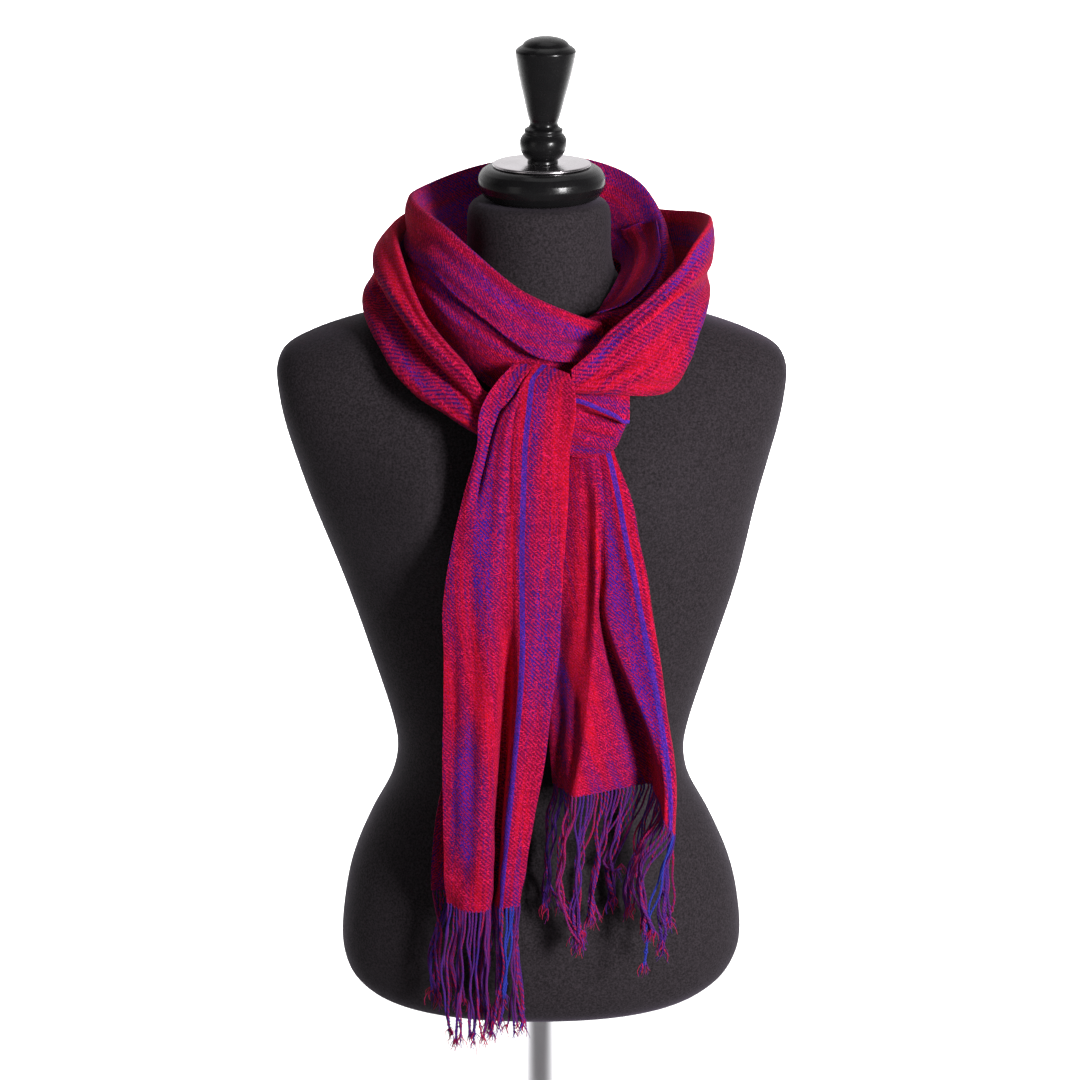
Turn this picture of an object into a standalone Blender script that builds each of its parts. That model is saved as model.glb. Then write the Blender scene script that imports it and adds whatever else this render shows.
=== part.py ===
"""A woven scarf wound twice round the neck of a limbless dress form, both ends hanging in front.

Metres, +Z up, the front towards -Y and the viewer's right towards +X. The origin is the middle of the
stand's underside. The tables are in millimetres. An azimuth is in degrees round the neck: 0 is the front,
90 the viewer's left, 180 the back and 270 the viewer's right.
"""

import math

import bmesh
import bpy
from mathutils import Vector

MM = 0.001

# Driving dimensions of the scarf, in millimetres
CLOTH_WALL = 1.4
SEAM_GAP = 0.3
RIM_SOFTNESS = 5.0
STRIP_GAP = 0.9
STRIP_HEIGHT = 3.0
STRANDS = 40
STRAND_WIDTH = 2.0
STRAND_LENGTH = 108.0
STRAND_SPREAD = 5.0
STRAND_SWAY = (3.0, 2.0)

# Driving dimensions of the form and its stand, in millimetres
NECK_TOP = 917.0
FORM_BOTTOM = 256.0
NECK_ASIDE = -0.8
CAP_ASIDE = 1.3
FINIAL_ASIDE = 2.1
FINIAL_LEAN = 0.026
POLE_RADIUS = 11.0
FLANGE_RADIUS = 32.0
FLANGE_HEIGHT = 5.0
BASE_RADIUS = 175.0
BASE_HEIGHT = 14.0

# How finely each kind of surface is divided
LEG_STEPS = 2
FOLD_STEPS = 1
WRAP_STEP = 8.0
LOBE_STEP = 8.0
TAIL_STEP = 24.0
STRAND_STEPS = 4
FORM_STEPS = 32
CAP_STEPS = 32
SLIM_STEPS = 24
BASE_STEPS = 48
SHARP_ANGLE = 50.0
WIDEST_FOLD = 0.38

# The turn next to the neck. Each point is (radius, height): the edge by the neck, the top rim, the crease
# that ends its face, the tuck behind that crease, the pleat below and the foot turned in under it.
INNER_WRAP = (
    # azimuth, inner, rim, crease, tuck, pleat, foot
    (-28, 82.7, 810.5, 99, 842.5, 111, 807, 105.5, 814.5, 106.5, 800, 104.5, 782),
    (-20, 81, 813, 98, 847, 114, 809, 107, 817, 107, 801, 105, 782),
    (-10, 79, 820, 97, 854, 121, 812, 110, 822, 108, 806, 106, 782),
    (0, 76, 828, 95.5, 861, 122, 816, 111, 826, 109, 810, 104, 781),
    (10, 73, 836, 94, 869, 116, 826, 107, 833, 109, 814, 101, 781),
    (23, 70, 846, 92, 883, 110, 841, 103, 848, 109, 824, 98, 789),
    (37, 68, 852, 92, 898, 107, 855, 101, 862, 108, 832, 97, 803),
    (54, 67, 857, 92, 911, 105, 870, 100, 876, 107, 850, 101, 818),
    (71, 66, 860, 95, 917, 106, 873, 101, 880, 107, 858, 104.5, 831),
    (90, 65, 860, 101, 922, 107, 878, 102, 884, 108, 860, 106, 835.5),
    (120, 66, 867, 103, 923, 107, 882, 102, 888, 107, 860, 105, 838),
    (150, 64, 867, 97, 932, 102, 889, 97, 894, 102, 862, 100, 842),
    (180, 63, 867, 92, 938, 96, 893, 91, 898, 96, 864, 94, 844),
    (206, 64, 867, 95, 936, 100, 890, 95, 895, 100, 862, 98, 842),
    (232, 64, 866, 100, 923, 105, 880, 100, 886, 105, 860, 103, 840),
    (256, 64, 864, 100, 900, 106, 868, 101, 873, 107, 855, 104, 837),
    (272, 64, 863, 99, 890, 107, 862, 102, 867, 107, 851, 104, 835.5),
    (291, 65, 860, 104, 873, 110, 850, 105, 855, 110, 838, 107, 826),
    (311, 68, 848, 108, 856, 112, 834, 107, 839, 111, 822, 108, 806),
    (320, 70, 840, 103, 848, 106, 828, 102, 830, 104, 815, 102, 799),
    (328, 71, 836, 92, 843, 90, 826, 87.5, 827, 84, 814, 83, 801),
    (336, 72, 833, 87, 839, 85, 824, 82.5, 825, 79.5, 813, 78.5, 802),
    (346, 71.5, 832, 82, 837, 80, 823, 78.5, 824, 76.5, 812, 76, 803),
)

# The turn over the shoulders. Each point is (radius, height): the edge inside, the top rim, the upper roll,
# the valley under it, the lower roll and the foot turned in below.
OUTER_WRAP = (
    # azimuth, inner, rim, roll, valley, lower roll, foot
    (13, 114, 776, 119, 789, 121, 785, 119.5, 775, 122, 764, 116, 757),
    (20, 117, 776, 125, 796, 129, 787, 129, 776, 132, 764, 124, 756),
    (26, 116, 786, 125, 813, 130.5, 801, 129, 786, 135, 772, 127, 762),
    (35, 114, 800, 124, 829, 132, 815, 126, 796, 137.5, 783, 129, 772),
    (46, 112.5, 814, 121, 845, 131.5, 830, 123, 811, 139, 793, 131, 781),
    (55, 111.5, 828, 118, 861, 131, 843, 122, 823, 140, 803, 132, 793),
    (66, 110, 842, 114.5, 878, 132, 857, 123, 838, 141.5, 821, 134, 811.5),
    (77, 109.5, 850, 112.5, 890, 133, 867, 127, 849, 142, 830.5, 134, 824),
    (90, 109.5, 852, 112.5, 897, 132, 875, 129, 859, 141, 838, 133.5, 828.5),
    (115, 110, 852, 114.5, 900, 130, 877, 127.5, 861, 134.5, 842, 127.5, 830),
    (145, 106, 853, 114, 900, 125, 878, 120, 861, 126, 838, 116, 820),
    (180, 100, 850, 109, 899, 118, 877, 112, 859, 117, 834, 105, 813),
    (212, 104, 850, 115, 897, 125, 877, 119, 859, 125, 837, 115, 820),
    (235, 108, 850, 123, 898, 132, 878, 126, 860, 131, 842, 123, 829),
    (258, 111, 850, 131, 905, 137, 882, 130, 862, 134, 845, 128, 832),
    (279, 112, 848, 133, 907, 137, 883, 130, 857, 135, 840, 127, 826),
    (294, 114, 840, 131, 897, 136, 876, 128, 855, 138, 828, 129, 814),
    (303, 115, 828, 129, 883, 135, 867, 127, 855, 141, 808, 131, 797),
    (311, 116, 818, 127, 873, 134, 861, 127, 853, 144, 797, 134, 786),
    (320, 117, 812, 126, 862, 133, 851, 128, 843, 143, 797, 134, 785),
    (328, 118, 808, 126, 853, 133, 841, 129, 832, 143, 801, 135, 788),
    (336, 120, 806, 127, 842, 133.5, 831, 131, 819, 142, 801, 135, 791),
    (342, 123, 804, 129.5, 830, 134, 819, 132, 809, 139, 799, 134, 793),
    (349.5, 124.5, 800, 129.3, 814, 132, 808, 130.8, 802, 132.5, 797, 129.3, 793),
)

# The small loop under the knot. Each point is (y, height): the edge behind, the top, the striped fold,
# the tuck under it, the lower bulge and the under edge.
LOBE = (
    # x, behind, top, striped fold, tuck, bulge, under edge
    (25, -117, 782, -121, 792, -125, 788, -121, 783, -124, 764, -118, 742),
    (34, -112, 778, -121, 794, -128, 785, -121, 779, -124, 760, -116, 739),
    (47, -108, 776, -121, 794.4, -128, 779, -119, 774, -123, 757, -115, 741),
    (58, -104, 775, -119.6, 793.4, -127, 773.5, -117, 769, -121, 757, -114, 747),
    (63, -100, 776, -117.4, 792.6, -125, 768.5, -114, 767, -116, 762.5, -110, 757),
    (68, -97, 778, -113.6, 790.2, -120, 766.5, -109, 768.5, -107, 768, -103, 767),
)

# The long end. Each point is (x, y) at that height: the left selvedge, the crease beside its rolled edge,
# the left ridge of the pleat, its valley, its right ridge with the stripe, the right fold, the middle of
# the layer behind and that layer's edge.
FRONT_TAIL = (
    # height, left, crease, ridge, valley, stripe, right, behind, back edge
    (813, -20, -115.5, -13, -116, -7, -117, -3, -117, 2, -117.5, 25, -131.5, 16, -127, 8, -120),
    (808, -26, -122, -17, -121, -10, -124, -7, -124, -4, -125, 26, -133, 16, -129, 8, -124),
    (804, -31, -126, -20, -124, -14, -129, -11, -129, -7.6, -130, 28, -134.5, 17, -130, 8, -126),
    (790, -41, -129, -29, -126, -20, -131, -15, -131, -9.5, -132, 29.5, -135, 18, -130, 8, -127),
    (775, -46.5, -130, -36, -127, -26, -132, -19, -132, -11, -133, 29.5, -134.5, 18, -130, 8, -127),
    (752, -48, -130, -42, -129, -31, -132, -22, -132, -13, -133, 26, -133, 15, -128, 4, -126),
    (710, -59, -129, -50, -131, -34, -133, -24, -132, -14.5, -134, 24, -132, 8, -124, -6, -121),
    (665, -69, -128, -56, -132, -36, -134, -25, -131, -15.4, -134, 21.5, -131, 2, -121, -16, -119),
    (620, -75, -127, -58, -132, -37, -134, -25, -128, -15, -134, 18.5, -130, -6, -117, -28, -118),
    (588, -74.5, -127, -58, -132, -37, -135, -25, -123, -14.7, -135, 17.5, -129, -12, -113, -42, -116),
    (545, -75, -126, -58, -132, -38, -135, -26, -118, -17, -135, 12, -128, -20, -109, -56, -114),
    (498, -76, -125, -59, -131, -38.5, -135, -28.5, -114, -21, -135, 6, -127, -30, -106, -70, -112),
    (450, -76, -124, -60, -131, -39, -135, -32, -112, -25.5, -135, -2, -127, -38, -104, -81, -110),
    (400, -75, -123, -60, -130, -40, -134, -34.5, -111, -30, -134, -10, -127, -44, -103, -86, -108),
    (375, -74, -122, -59, -130, -41, -134, -36, -111, -31.5, -134, -14.7, -127, -46, -103, -86, -107),
)

# The short end. Each point is (x, y) at that height: the edge behind the long end, the panel that recedes
# there, the left ridge, the hollow, the right ridge with the stripe, the right fold and the edge behind it.
SIDE_TAIL = (
    # height, back edge, panel, ridge, hollow, edge, stripe, right, behind
    (751, 18, -104, 27, -108, 36, -111, 40, -109.5, 44, -110, 49, -111, 56, -109, 50, -103),
    (738, 14, -105, 27, -112, 41, -116, 44, -113.5, 48, -114, 53, -116, 60, -114, 54, -107),
    (707, 8, -108, 26, -116, 44, -122, 47.5, -118, 51.5, -119.5, 60, -122, 71.5, -120, 66, -113),
    (674, 3, -109, 26, -118, 44.5, -126, 47.5, -120, 51.5, -123, 67, -127, 78, -125, 72, -117),
    (649, 2, -110, 25, -119, 44.5, -128, 47.5, -121, 51.5, -126, 73, -130, 84, -127, 77, -119),
    (620, 2, -110, 24, -119, 43.5, -130, 46.5, -121, 51, -129, 79, -132, 88, -129, 81, -120),
    (584, 2, -109, 22, -119, 41.5, -132, 55, -114, 61, -132, 86, -135, 93.7, -131, 86, -121),
    (554, 2, -108, 20, -118, 38.5, -133, 67, -108, 73, -134.5, 91.5, -137, 98, -132, 90, -121),
    (525, 6, -107, 20, -119, 35.5, -134, 78, -104, 85, -136.5, 95.5, -138, 102, -133, 96, -121),
    (488, 9, -106, 19, -119, 30, -134, 88, -101, 96, -138, 101, -139, 107, -133, 102, -120),
    (470, 10, -106, 18.5, -119, 27.5, -134, 89, -100, 97, -139, 101.5, -140, 106.5, -133, 102, -120),
)

# How far the fold points of a tail hang below its first and its last row, in millimetres
FRONT_TOP_DROP = (0, 0, 0, 0, 0, 5, 5, 5)
SIDE_TOP_DROP = (0, 0, 0, 0, 0, 0, 0, 0)
TOP_REACH = 12.0
FRONT_HEM_DROP = (-2, 2, 1, -1, -1, -3, -5, -7)
SIDE_HEM_DROP = (-2, 0, 0, 0, 18, 26, 34, 12)
HEM_REACH = 60.0

# The padded form: its widest half, how far it reaches forward and back, and how square its section is
FORM = (
    # height, half width, front, back, squareness, how far its middle is to the right
    (FORM_BOTTOM, 112, 70, 82, 2.2, -3),
    (FORM_BOTTOM + 2, 128, 80, 94, 2.2, -3),
    (266, 143, 90, 106, 2.2, -2.5),
    (280, 156, 97, 117, 2.2, -1),
    (303, 163, 101, 122, 2.2, 0.7),
    (340, 160.5, 101, 122, 2.2, 1),
    (371, 153.5, 98, 116, 2.2, 0.5),
    (406, 139, 92, 103, 2.2, 0),
    (441, 121, 86, 88, 2.2, 0),
    (467, 116, 84, 81, 2.2, 0.5),
    (492, 119.5, 84, 79, 2.2, 1),
    (543, 135, 88, 82, 2.2, 1.2),
    (611, 157, 95, 88, 2.2, 0.6),
    (677, 177, 101, 94, 2.3, -4.5),
    (710, 187, 101, 96, 2.3, -5.8),
    (743, 196, 94, 97, 2.5, -6.4),
    (770, 200.5, 82, 93, 2.7, -6.5),
    (786, 200.8, 74, 87, 2.7, -6.6),
    (798, 194.8, 69, 80, 2.5, -6.8),
    (808, 178.5, 65, 76, 2.3, -7),
    (816, 158.5, 63, 73, 2.2, -6.5),
    (824, 132, 61, 69, 2.1, -5),
    (832, 107, 60, 66, 2.0, -2.5),
    (840, 85, 59.5, 63, 2.0, -0.8),
    (850, 68, 59, 60.5, 2.0, -0.6),
    (862, 59.5, 57.5, 58, 2.0, NECK_ASIDE),
    (880, 56.5, 56, 56.5, 2.0, NECK_ASIDE),
    (905, 56, 55.5, 56, 2.0, NECK_ASIDE),
    (NECK_TOP - 4, 54, 53.5, 54, 2.0, NECK_ASIDE),
    (NECK_TOP, 49, 48.5, 49, 2.0, NECK_ASIDE),
)
BUST_HEIGHT = 693.0
BUST_X = 82.0
BUST_RISE = 14.0
BUST_SPREAD = 48.0

# Turned outlines, each point (radius, height above the piece's foot)
CAP_OUTLINE = ((37, 0), (43, 1.2), (47, 5), (49.5, 10.5), (50, 15), (48.5, 20.5), (45, 24.3), (41, 26))
PLATE_OUTLINE = ((38, 0), (38.5, 0.8), (38.3, 2), (37.6, 2.5), (20, 2.6))
FINIAL_OUTLINE = (
    (12, 0),
    (11.6, 2),
    (15.6, 5.5),
    (18.3, 10.5),
    (18.3, 18),
    (16.3, 21.5),
    (15.1, 22.5),
    (15.1, 26),
    (11.8, 28),
    (10.8, 30.5),
    (13, 37),
    (15.9, 49.5),
    (19.2, 62),
    (21.9, 74.5),
    (23.5, 84.5),
    (23.6, 87.5),
    (21.3, 89.8),
    (18.6, 91.4),
    (16.2, 94.6),
    (10, 97.4),
    (3, 98.2),
)
BASE_OUTLINE = (
    (BASE_RADIUS - 1.5, 0),
    (BASE_RADIUS, 1.5),
    (BASE_RADIUS, BASE_HEIGHT - 5),
    (BASE_RADIUS - 3, BASE_HEIGHT - 2),
    (BASE_RADIUS - 15, BASE_HEIGHT - 0.6),
    (POLE_RADIUS + 9, BASE_HEIGHT),
)
FLANGE_OUTLINE = (
    (POLE_RADIUS + 4, 0),
    (POLE_RADIUS + 6, 1),
    (FLANGE_RADIUS - 1, FLANGE_HEIGHT - 2.6),
    (FLANGE_RADIUS, FLANGE_HEIGHT - 2),
    (FLANGE_RADIUS, FLANGE_HEIGHT - 0.4),
    (FLANGE_RADIUS - 0.4, FLANGE_HEIGHT),
)


def reading(rows, at):
    """Every column of a table where its first column is at a value, with a smooth run between the rows."""
    keys = [row[0] for row in rows]
    at = min(max(at, keys[0]), keys[-1])
    first = max(i for i in range(len(keys) - 1) if keys[i] <= at)
    span = keys[first + 1] - keys[first]
    t = (at - keys[first]) / span

    def slopes(i):
        low, high = max(i - 1, 0), min(i + 1, len(rows) - 1)
        return [(b - a) / (keys[high] - keys[low]) for a, b in zip(rows[low], rows[high])]

    ends = zip(rows[first], rows[first + 1], slopes(first), slopes(first + 1))
    start, leave = (1 + 2 * t) * (1 - t) ** 2, t * (1 - t) ** 2 * span
    stop, arrive = t * t * (3 - 2 * t), t * t * (t - 1) * span
    return [start * a + leave * ga + stop * b + arrive * gb for a, b, ga, gb in ends]


def folded_line(points, softness, leg_steps, fold_steps):
    """A smooth line through fold points, each fold rounded off over its softness."""
    marks = [points[0]]
    for before, here, after in zip(points, points[1:], points[2:]):
        for neighbour in (before, after):
            marks.append(here.lerp(neighbour, min(WIDEST_FOLD, softness / (neighbour - here).length)))
    marks.append(points[-1])
    rows = [(0.0, *marks[0])]
    for before, here in zip(marks, marks[1:]):
        rows.append((rows[-1][0] + (here - before).length, *here))
    line = [marks[0]]
    for i, (low, high) in enumerate(zip(rows, rows[1:])):
        steps = fold_steps if i % 2 else leg_steps
        for k in range(1, steps + 1):
            line.append(Vector(reading(rows, low[0] + (high[0] - low[0]) * k / steps)[1:]))
    return line


def pairs_of(row):
    """The fold points of a table row: its columns after the first, two by two."""
    return [Vector(pair) for pair in zip(row[1::2], row[2::2])]


def even_steps(low, high, step):
    """Values from one end to the other, both included, about a step apart."""
    count = max(1, round((high - low) / step))
    return [low + (high - low) * i / count for i in range(count + 1)]


def wrap_grid(rows, step, leg_steps, fold_steps):
    """The points of a turn round the neck, one line of them across the cloth at each azimuth."""
    grid = []
    for azimuth in even_steps(rows[0][0], rows[-1][0], step):
        section = pairs_of(reading(rows, azimuth))
        turn = math.radians(azimuth)
        line = folded_line(section, RIM_SOFTNESS, leg_steps, fold_steps)
        grid.append([Vector((-r * math.sin(turn), -r * math.cos(turn), z)) for r, z in line])
    return grid


def tail_grid(rows, top_drop, hem_drop, step, leg_steps, fold_steps):
    """The points of a hanging end, one line of them across the cloth at each height."""
    falling = [(-row[0], *row[1:]) for row in rows]
    top, hem = falling[0][0], falling[-1][0]
    grid = []
    for depth in even_steps(top, hem, step):
        near_top = max(0.0, 1 - (depth - top) / TOP_REACH)
        near_hem = max(0.0, 1 - (hem - depth) / HEM_REACH) ** 2
        corners = [
            Vector((x, y, -depth - high * near_top - low * near_hem))
            for (x, y), high, low in zip(pairs_of(reading(falling, depth)), top_drop, hem_drop)
        ]
        grid.append(folded_line(corners, RIM_SOFTNESS, leg_steps, fold_steps))
    return grid


def lobe_grid(rows, step, leg_steps, fold_steps):
    """The points of the small loop under the knot, one line of them at each x."""
    grid = []
    for x in even_steps(rows[0][0], rows[-1][0], step):
        line = folded_line(pairs_of(reading(rows, x)), RIM_SOFTNESS, leg_steps, fold_steps)
        grid.append([Vector((x, y, z)) for y, z in line])
    return grid


def grid_normals(grid):
    """The cloth's normal at each point of a grid."""
    rows, columns = len(grid), len(grid[0])
    normals = []
    for i in range(rows):
        before, after = grid[max(i - 1, 0)], grid[min(i + 1, rows - 1)]
        line = []
        for j in range(columns):
            across = grid[i][min(j + 1, columns - 1)] - grid[i][max(j - 1, 0)]
            line.append((after[j] - before[j]).cross(across).normalized())
        normals.append(line)
    return normals


def add_node(name, bm, material):
    """Turns a bmesh in millimetres into a named object with one material."""
    bmesh.ops.recalc_face_normals(bm, faces=bm.faces)
    bmesh.ops.scale(bm, vec=(MM, MM, MM), verts=bm.verts)
    mesh = bpy.data.meshes.new(name)
    bm.to_mesh(mesh)
    bm.free()
    mesh.materials.append(material)
    mesh.shade_smooth()
    mesh.set_sharp_from_angle(angle=math.radians(SHARP_ANGLE))
    node = bpy.data.objects.new(name, mesh)
    bpy.context.scene.collection.objects.link(node)
    return node


def cloth_node(name, grid, material):
    """A wall of cloth: the grid moved half a wall to each side and closed along its edges."""
    bm = bmesh.new()
    sides = []
    normals = grid_normals(grid)
    for half in (CLOTH_WALL / 2, -CLOTH_WALL / 2):
        sides.append([[bm.verts.new(p + n * half) for p, n in zip(*lines)] for lines in zip(grid, normals)])
    rows, columns = len(grid), len(grid[0])
    for side in sides:
        for i in range(rows - 1):
            for j in range(columns - 1):
                bm.faces.new((side[i][j], side[i + 1][j], side[i + 1][j + 1], side[i][j + 1]))
    upper, lower = sides
    border = [(0, j) for j in range(columns - 1)] + [(i, columns - 1) for i in range(rows - 1)]
    border += [(rows - 1, j) for j in range(columns - 1, 0, -1)] + [(i, 0) for i in range(rows - 1, 0, -1)]
    for (i, j), (k, m) in zip(border, border[1:] + border[:1]):
        bm.faces.new((upper[i][j], upper[k][m], lower[k][m], lower[i][j]))
    return add_node(name, bm, material)


def line_at(line, distance):
    """The point of a polyline at a distance along it, and its direction there."""
    for before, here in zip(line, line[1:]):
        leg = (here - before).length
        if distance <= leg or here is line[-1]:
            return before.lerp(here, min(distance / leg, 1.0)), (here - before).normalized()
        distance -= leg


def fringe_node(name, hem, material):
    """Twisted strands hanging from a narrow strip that follows the hem a seam's gap below it."""
    length = sum((b - a).length for a, b in zip(hem, hem[1:]))
    pitch = length / STRANDS
    marks = [0.0]
    for i in range(STRANDS):
        marks += [(i + 0.5) * pitch - STRAND_WIDTH / 2, (i + 0.5) * pitch + STRAND_WIDTH / 2]
    marks.append(length)
    bm = bmesh.new()
    strip = []
    for distance in marks:
        point, direction = line_at(hem, distance)
        outward = Vector((direction.y, -direction.x, 0)).normalized()
        down = outward.cross(direction)
        down *= -math.copysign(1.0, down.z)
        outward *= CLOTH_WALL / 2
        top = point + down * STRIP_GAP
        foot = top + down * STRIP_HEIGHT
        strip.append([bm.verts.new(p) for p in (top + outward, top - outward, foot - outward, foot + outward)])
    for before, here in zip(strip, strip[1:]):
        for a, b in ((0, 1), (1, 2), (3, 0)):
            bm.faces.new((before[a], before[b], here[b], here[a]))
    for section in (strip[0], strip[-1]):
        bm.faces.new(section)
    for i, (before, here) in enumerate(zip(strip, strip[1:])):
        # The strip's bottom is a gap, then a strand, then a gap again.
        root = [before[2], before[3], here[3], here[2]]
        if i % 2 == 0:
            bm.faces.new((before[3], before[2], here[2], here[3]))
        else:
            hang_strand(bm, root, i // 2)
    return add_node(name, bm, material)


def hang_strand(bm, root, number):
    """Carries the four corners of a strand down from its root, drifting with its neighbours."""
    middle = sum((v.co for v in root), Vector()) / 4
    spokes = [v.co - middle for v in root]
    length = STRAND_LENGTH + STRAND_SPREAD * math.sin(number * 2.3)
    ring = root
    for k in range(1, STRAND_STEPS + 1):
        fall = k / STRAND_STEPS
        aside = STRAND_SWAY[0] * math.sin(number * 0.45 + fall * 4)
        outward = STRAND_SWAY[1] * math.sin(number * 0.6 + fall * 3)
        centre = middle + Vector((aside * fall, outward * fall, -length * fall))
        below = [bm.verts.new(centre + spoke) for spoke in spokes]
        for a in range(4):
            b = (a + 1) % 4
            bm.faces.new((ring[a], ring[b], below[b], below[a]))
        ring = below
    bm.faces.new(ring)


def form_point(row, turn):
    """A point of the padded form on the section that a table row gives."""
    height, half_width, front, back, squareness, aside = row
    cos_turn, sin_turn = math.cos(turn), math.sin(turn)
    x = half_width * math.copysign(abs(sin_turn) ** (2 / squareness), sin_turn)
    depth = back if cos_turn < 0 else front
    y = -depth * math.copysign(abs(cos_turn) ** (2 / squareness), cos_turn)
    if cos_turn > 0:
        away = ((abs(x) - BUST_X) ** 2 + (height - BUST_HEIGHT) ** 2) / BUST_SPREAD**2
        y -= BUST_RISE * cos_turn * math.exp(-away)
    return Vector((x + aside, y, height))


def lofted_node(name, rings, material):
    """Joins rings of points from bottom to top and closes both ends."""
    bm = bmesh.new()
    loops = [[bm.verts.new(point) for point in ring] for ring in rings]
    for low, high in zip(loops, loops[1:]):
        for k in range(len(low)):
            m = (k + 1) % len(low)
            bm.faces.new((low[k], low[m], high[m], high[k]))
    bm.faces.new(list(reversed(loops[0])))
    bm.faces.new(loops[-1])
    return add_node(name, bm, material)


def turned_node(name, outline, foot, material, steps, aside=0.0, lean=0.0):
    """A turned piece with its foot aside of the stand's axis, its outline given from the foot up."""
    turns = [2 * math.pi * k / steps for k in range(steps)]
    rings = []
    for radius, height in outline:
        middle = Vector((aside + lean * height, 0, foot + height))
        rings.append([middle + Vector((radius * math.sin(t), -radius * math.cos(t), 0)) for t in turns])
    return lofted_node(name, rings, material)


def make_material(name, colour, roughness, metallic=0.0):
    material = bpy.data.materials.new(name)
    material.use_nodes = True
    shader = material.node_tree.nodes["Principled BSDF"]
    shader.inputs["Base Color"].default_value = (*colour, 1.0)
    shader.inputs["Roughness"].default_value = roughness
    shader.inputs["Metallic"].default_value = metallic
    return material


def build_scarf(cloth, stripe):
    cloth_node("wrap_inner", wrap_grid(INNER_WRAP, WRAP_STEP, LEG_STEPS, FOLD_STEPS), cloth)
    cloth_node("wrap_outer", wrap_grid(OUTER_WRAP, WRAP_STEP, LEG_STEPS, FOLD_STEPS), cloth)
    cloth_node("knot_lobe", lobe_grid(LOBE, LOBE_STEP, LEG_STEPS, FOLD_STEPS), cloth)
    front = tail_grid(FRONT_TAIL, FRONT_TOP_DROP, FRONT_HEM_DROP, TAIL_STEP, LEG_STEPS, FOLD_STEPS)
    side = tail_grid(SIDE_TAIL, SIDE_TOP_DROP, SIDE_HEM_DROP, TAIL_STEP, LEG_STEPS, FOLD_STEPS)
    cloth_node("tail_front", front, cloth)
    cloth_node("tail_side", side, cloth)
    fringe_node("fringe_front", front[-1], stripe)
    fringe_node("fringe_side", side[-1], stripe)


def build_form(jersey, gloss, metal):
    turns = [2 * math.pi * k / FORM_STEPS for k in range(FORM_STEPS)]
    lofted_node("form_torso", [[form_point(row, t) for t in turns] for row in FORM], jersey)
    cap_foot = NECK_TOP + SEAM_GAP
    plate_foot = cap_foot + CAP_OUTLINE[-1][1] + SEAM_GAP
    finial_foot = plate_foot + PLATE_OUTLINE[-1][1] + SEAM_GAP
    turned_node("neck_cap", CAP_OUTLINE, cap_foot, gloss, CAP_STEPS, CAP_ASIDE)
    turned_node("cap_plate", PLATE_OUTLINE, plate_foot, metal, CAP_STEPS, CAP_ASIDE)
    turned_node("finial", FINIAL_OUTLINE, finial_foot, gloss, SLIM_STEPS, FINIAL_ASIDE, FINIAL_LEAN)


def build_stand(metal):
    turned_node("stand_base", BASE_OUTLINE, 0.0, metal, BASE_STEPS)
    pole_foot = BASE_HEIGHT + SEAM_GAP
    flange_foot = FORM_BOTTOM - SEAM_GAP - FLANGE_HEIGHT
    pole = ((POLE_RADIUS, 0), (POLE_RADIUS, flange_foot - SEAM_GAP - pole_foot))
    turned_node("stand_pole", pole, pole_foot, metal, SLIM_STEPS)
    turned_node("stand_flange", FLANGE_OUTLINE, flange_foot, metal, SLIM_STEPS)


def main():
    for old in list(bpy.data.objects):
        bpy.data.objects.remove(old)
    build_scarf(
        make_material("woven_cloth", (0.42, 0.015, 0.075), 0.8),
        make_material("twisted_fringe", (0.16, 0.02, 0.14), 0.85),
    )
    chrome = make_material("polished_chrome", (0.75, 0.75, 0.76), 0.15, 1.0)
    build_form(
        make_material("charcoal_jersey", (0.045, 0.035, 0.042), 0.85),
        make_material("black_lacquer", (0.015, 0.015, 0.017), 0.12),
        make_material("satin_plate", (0.55, 0.52, 0.53), 0.3, 1.0),
    )
    build_stand(chrome)


main()
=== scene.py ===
"""A woven scarf wound round a limbless dress form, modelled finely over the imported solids.

Tables are in millimetres, in the same frame as the solids: +Z up, the front towards -Y. An azimuth is in
degrees round the neck: 0 is the front, 90 the viewer's left, 180 the back and 270 the viewer's right. A
station is where a row of a table lies along its cloth: an azimuth for a turn, x for the loop, and minus
the height for a hanging end. A place is a position across the cloth, counted in a table's columns.
"""

import math
import random

import bpy
import numpy as np
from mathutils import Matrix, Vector


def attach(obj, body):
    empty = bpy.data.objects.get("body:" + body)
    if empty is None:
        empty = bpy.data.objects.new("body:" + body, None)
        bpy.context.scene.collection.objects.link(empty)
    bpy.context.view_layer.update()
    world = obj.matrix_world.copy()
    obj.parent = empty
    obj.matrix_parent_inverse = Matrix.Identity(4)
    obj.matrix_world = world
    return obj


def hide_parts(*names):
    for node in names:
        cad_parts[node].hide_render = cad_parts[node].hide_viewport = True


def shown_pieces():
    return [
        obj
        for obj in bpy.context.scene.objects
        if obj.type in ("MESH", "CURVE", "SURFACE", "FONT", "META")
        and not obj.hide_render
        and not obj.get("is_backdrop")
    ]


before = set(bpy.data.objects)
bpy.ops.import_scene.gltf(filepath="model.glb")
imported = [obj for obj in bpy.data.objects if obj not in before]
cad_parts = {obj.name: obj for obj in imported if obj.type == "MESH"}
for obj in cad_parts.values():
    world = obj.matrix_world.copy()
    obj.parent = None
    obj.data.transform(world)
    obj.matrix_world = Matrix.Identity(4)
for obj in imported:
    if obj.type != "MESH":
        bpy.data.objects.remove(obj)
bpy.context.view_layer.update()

MM = 0.001

# The camera, in metres and degrees
CAMERA_LENS = 133.33
CAMERA_DISTANCE = 3.2
CAMERA_ELEVATION = 16.2
CAMERA_TARGET = 0.64

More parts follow.
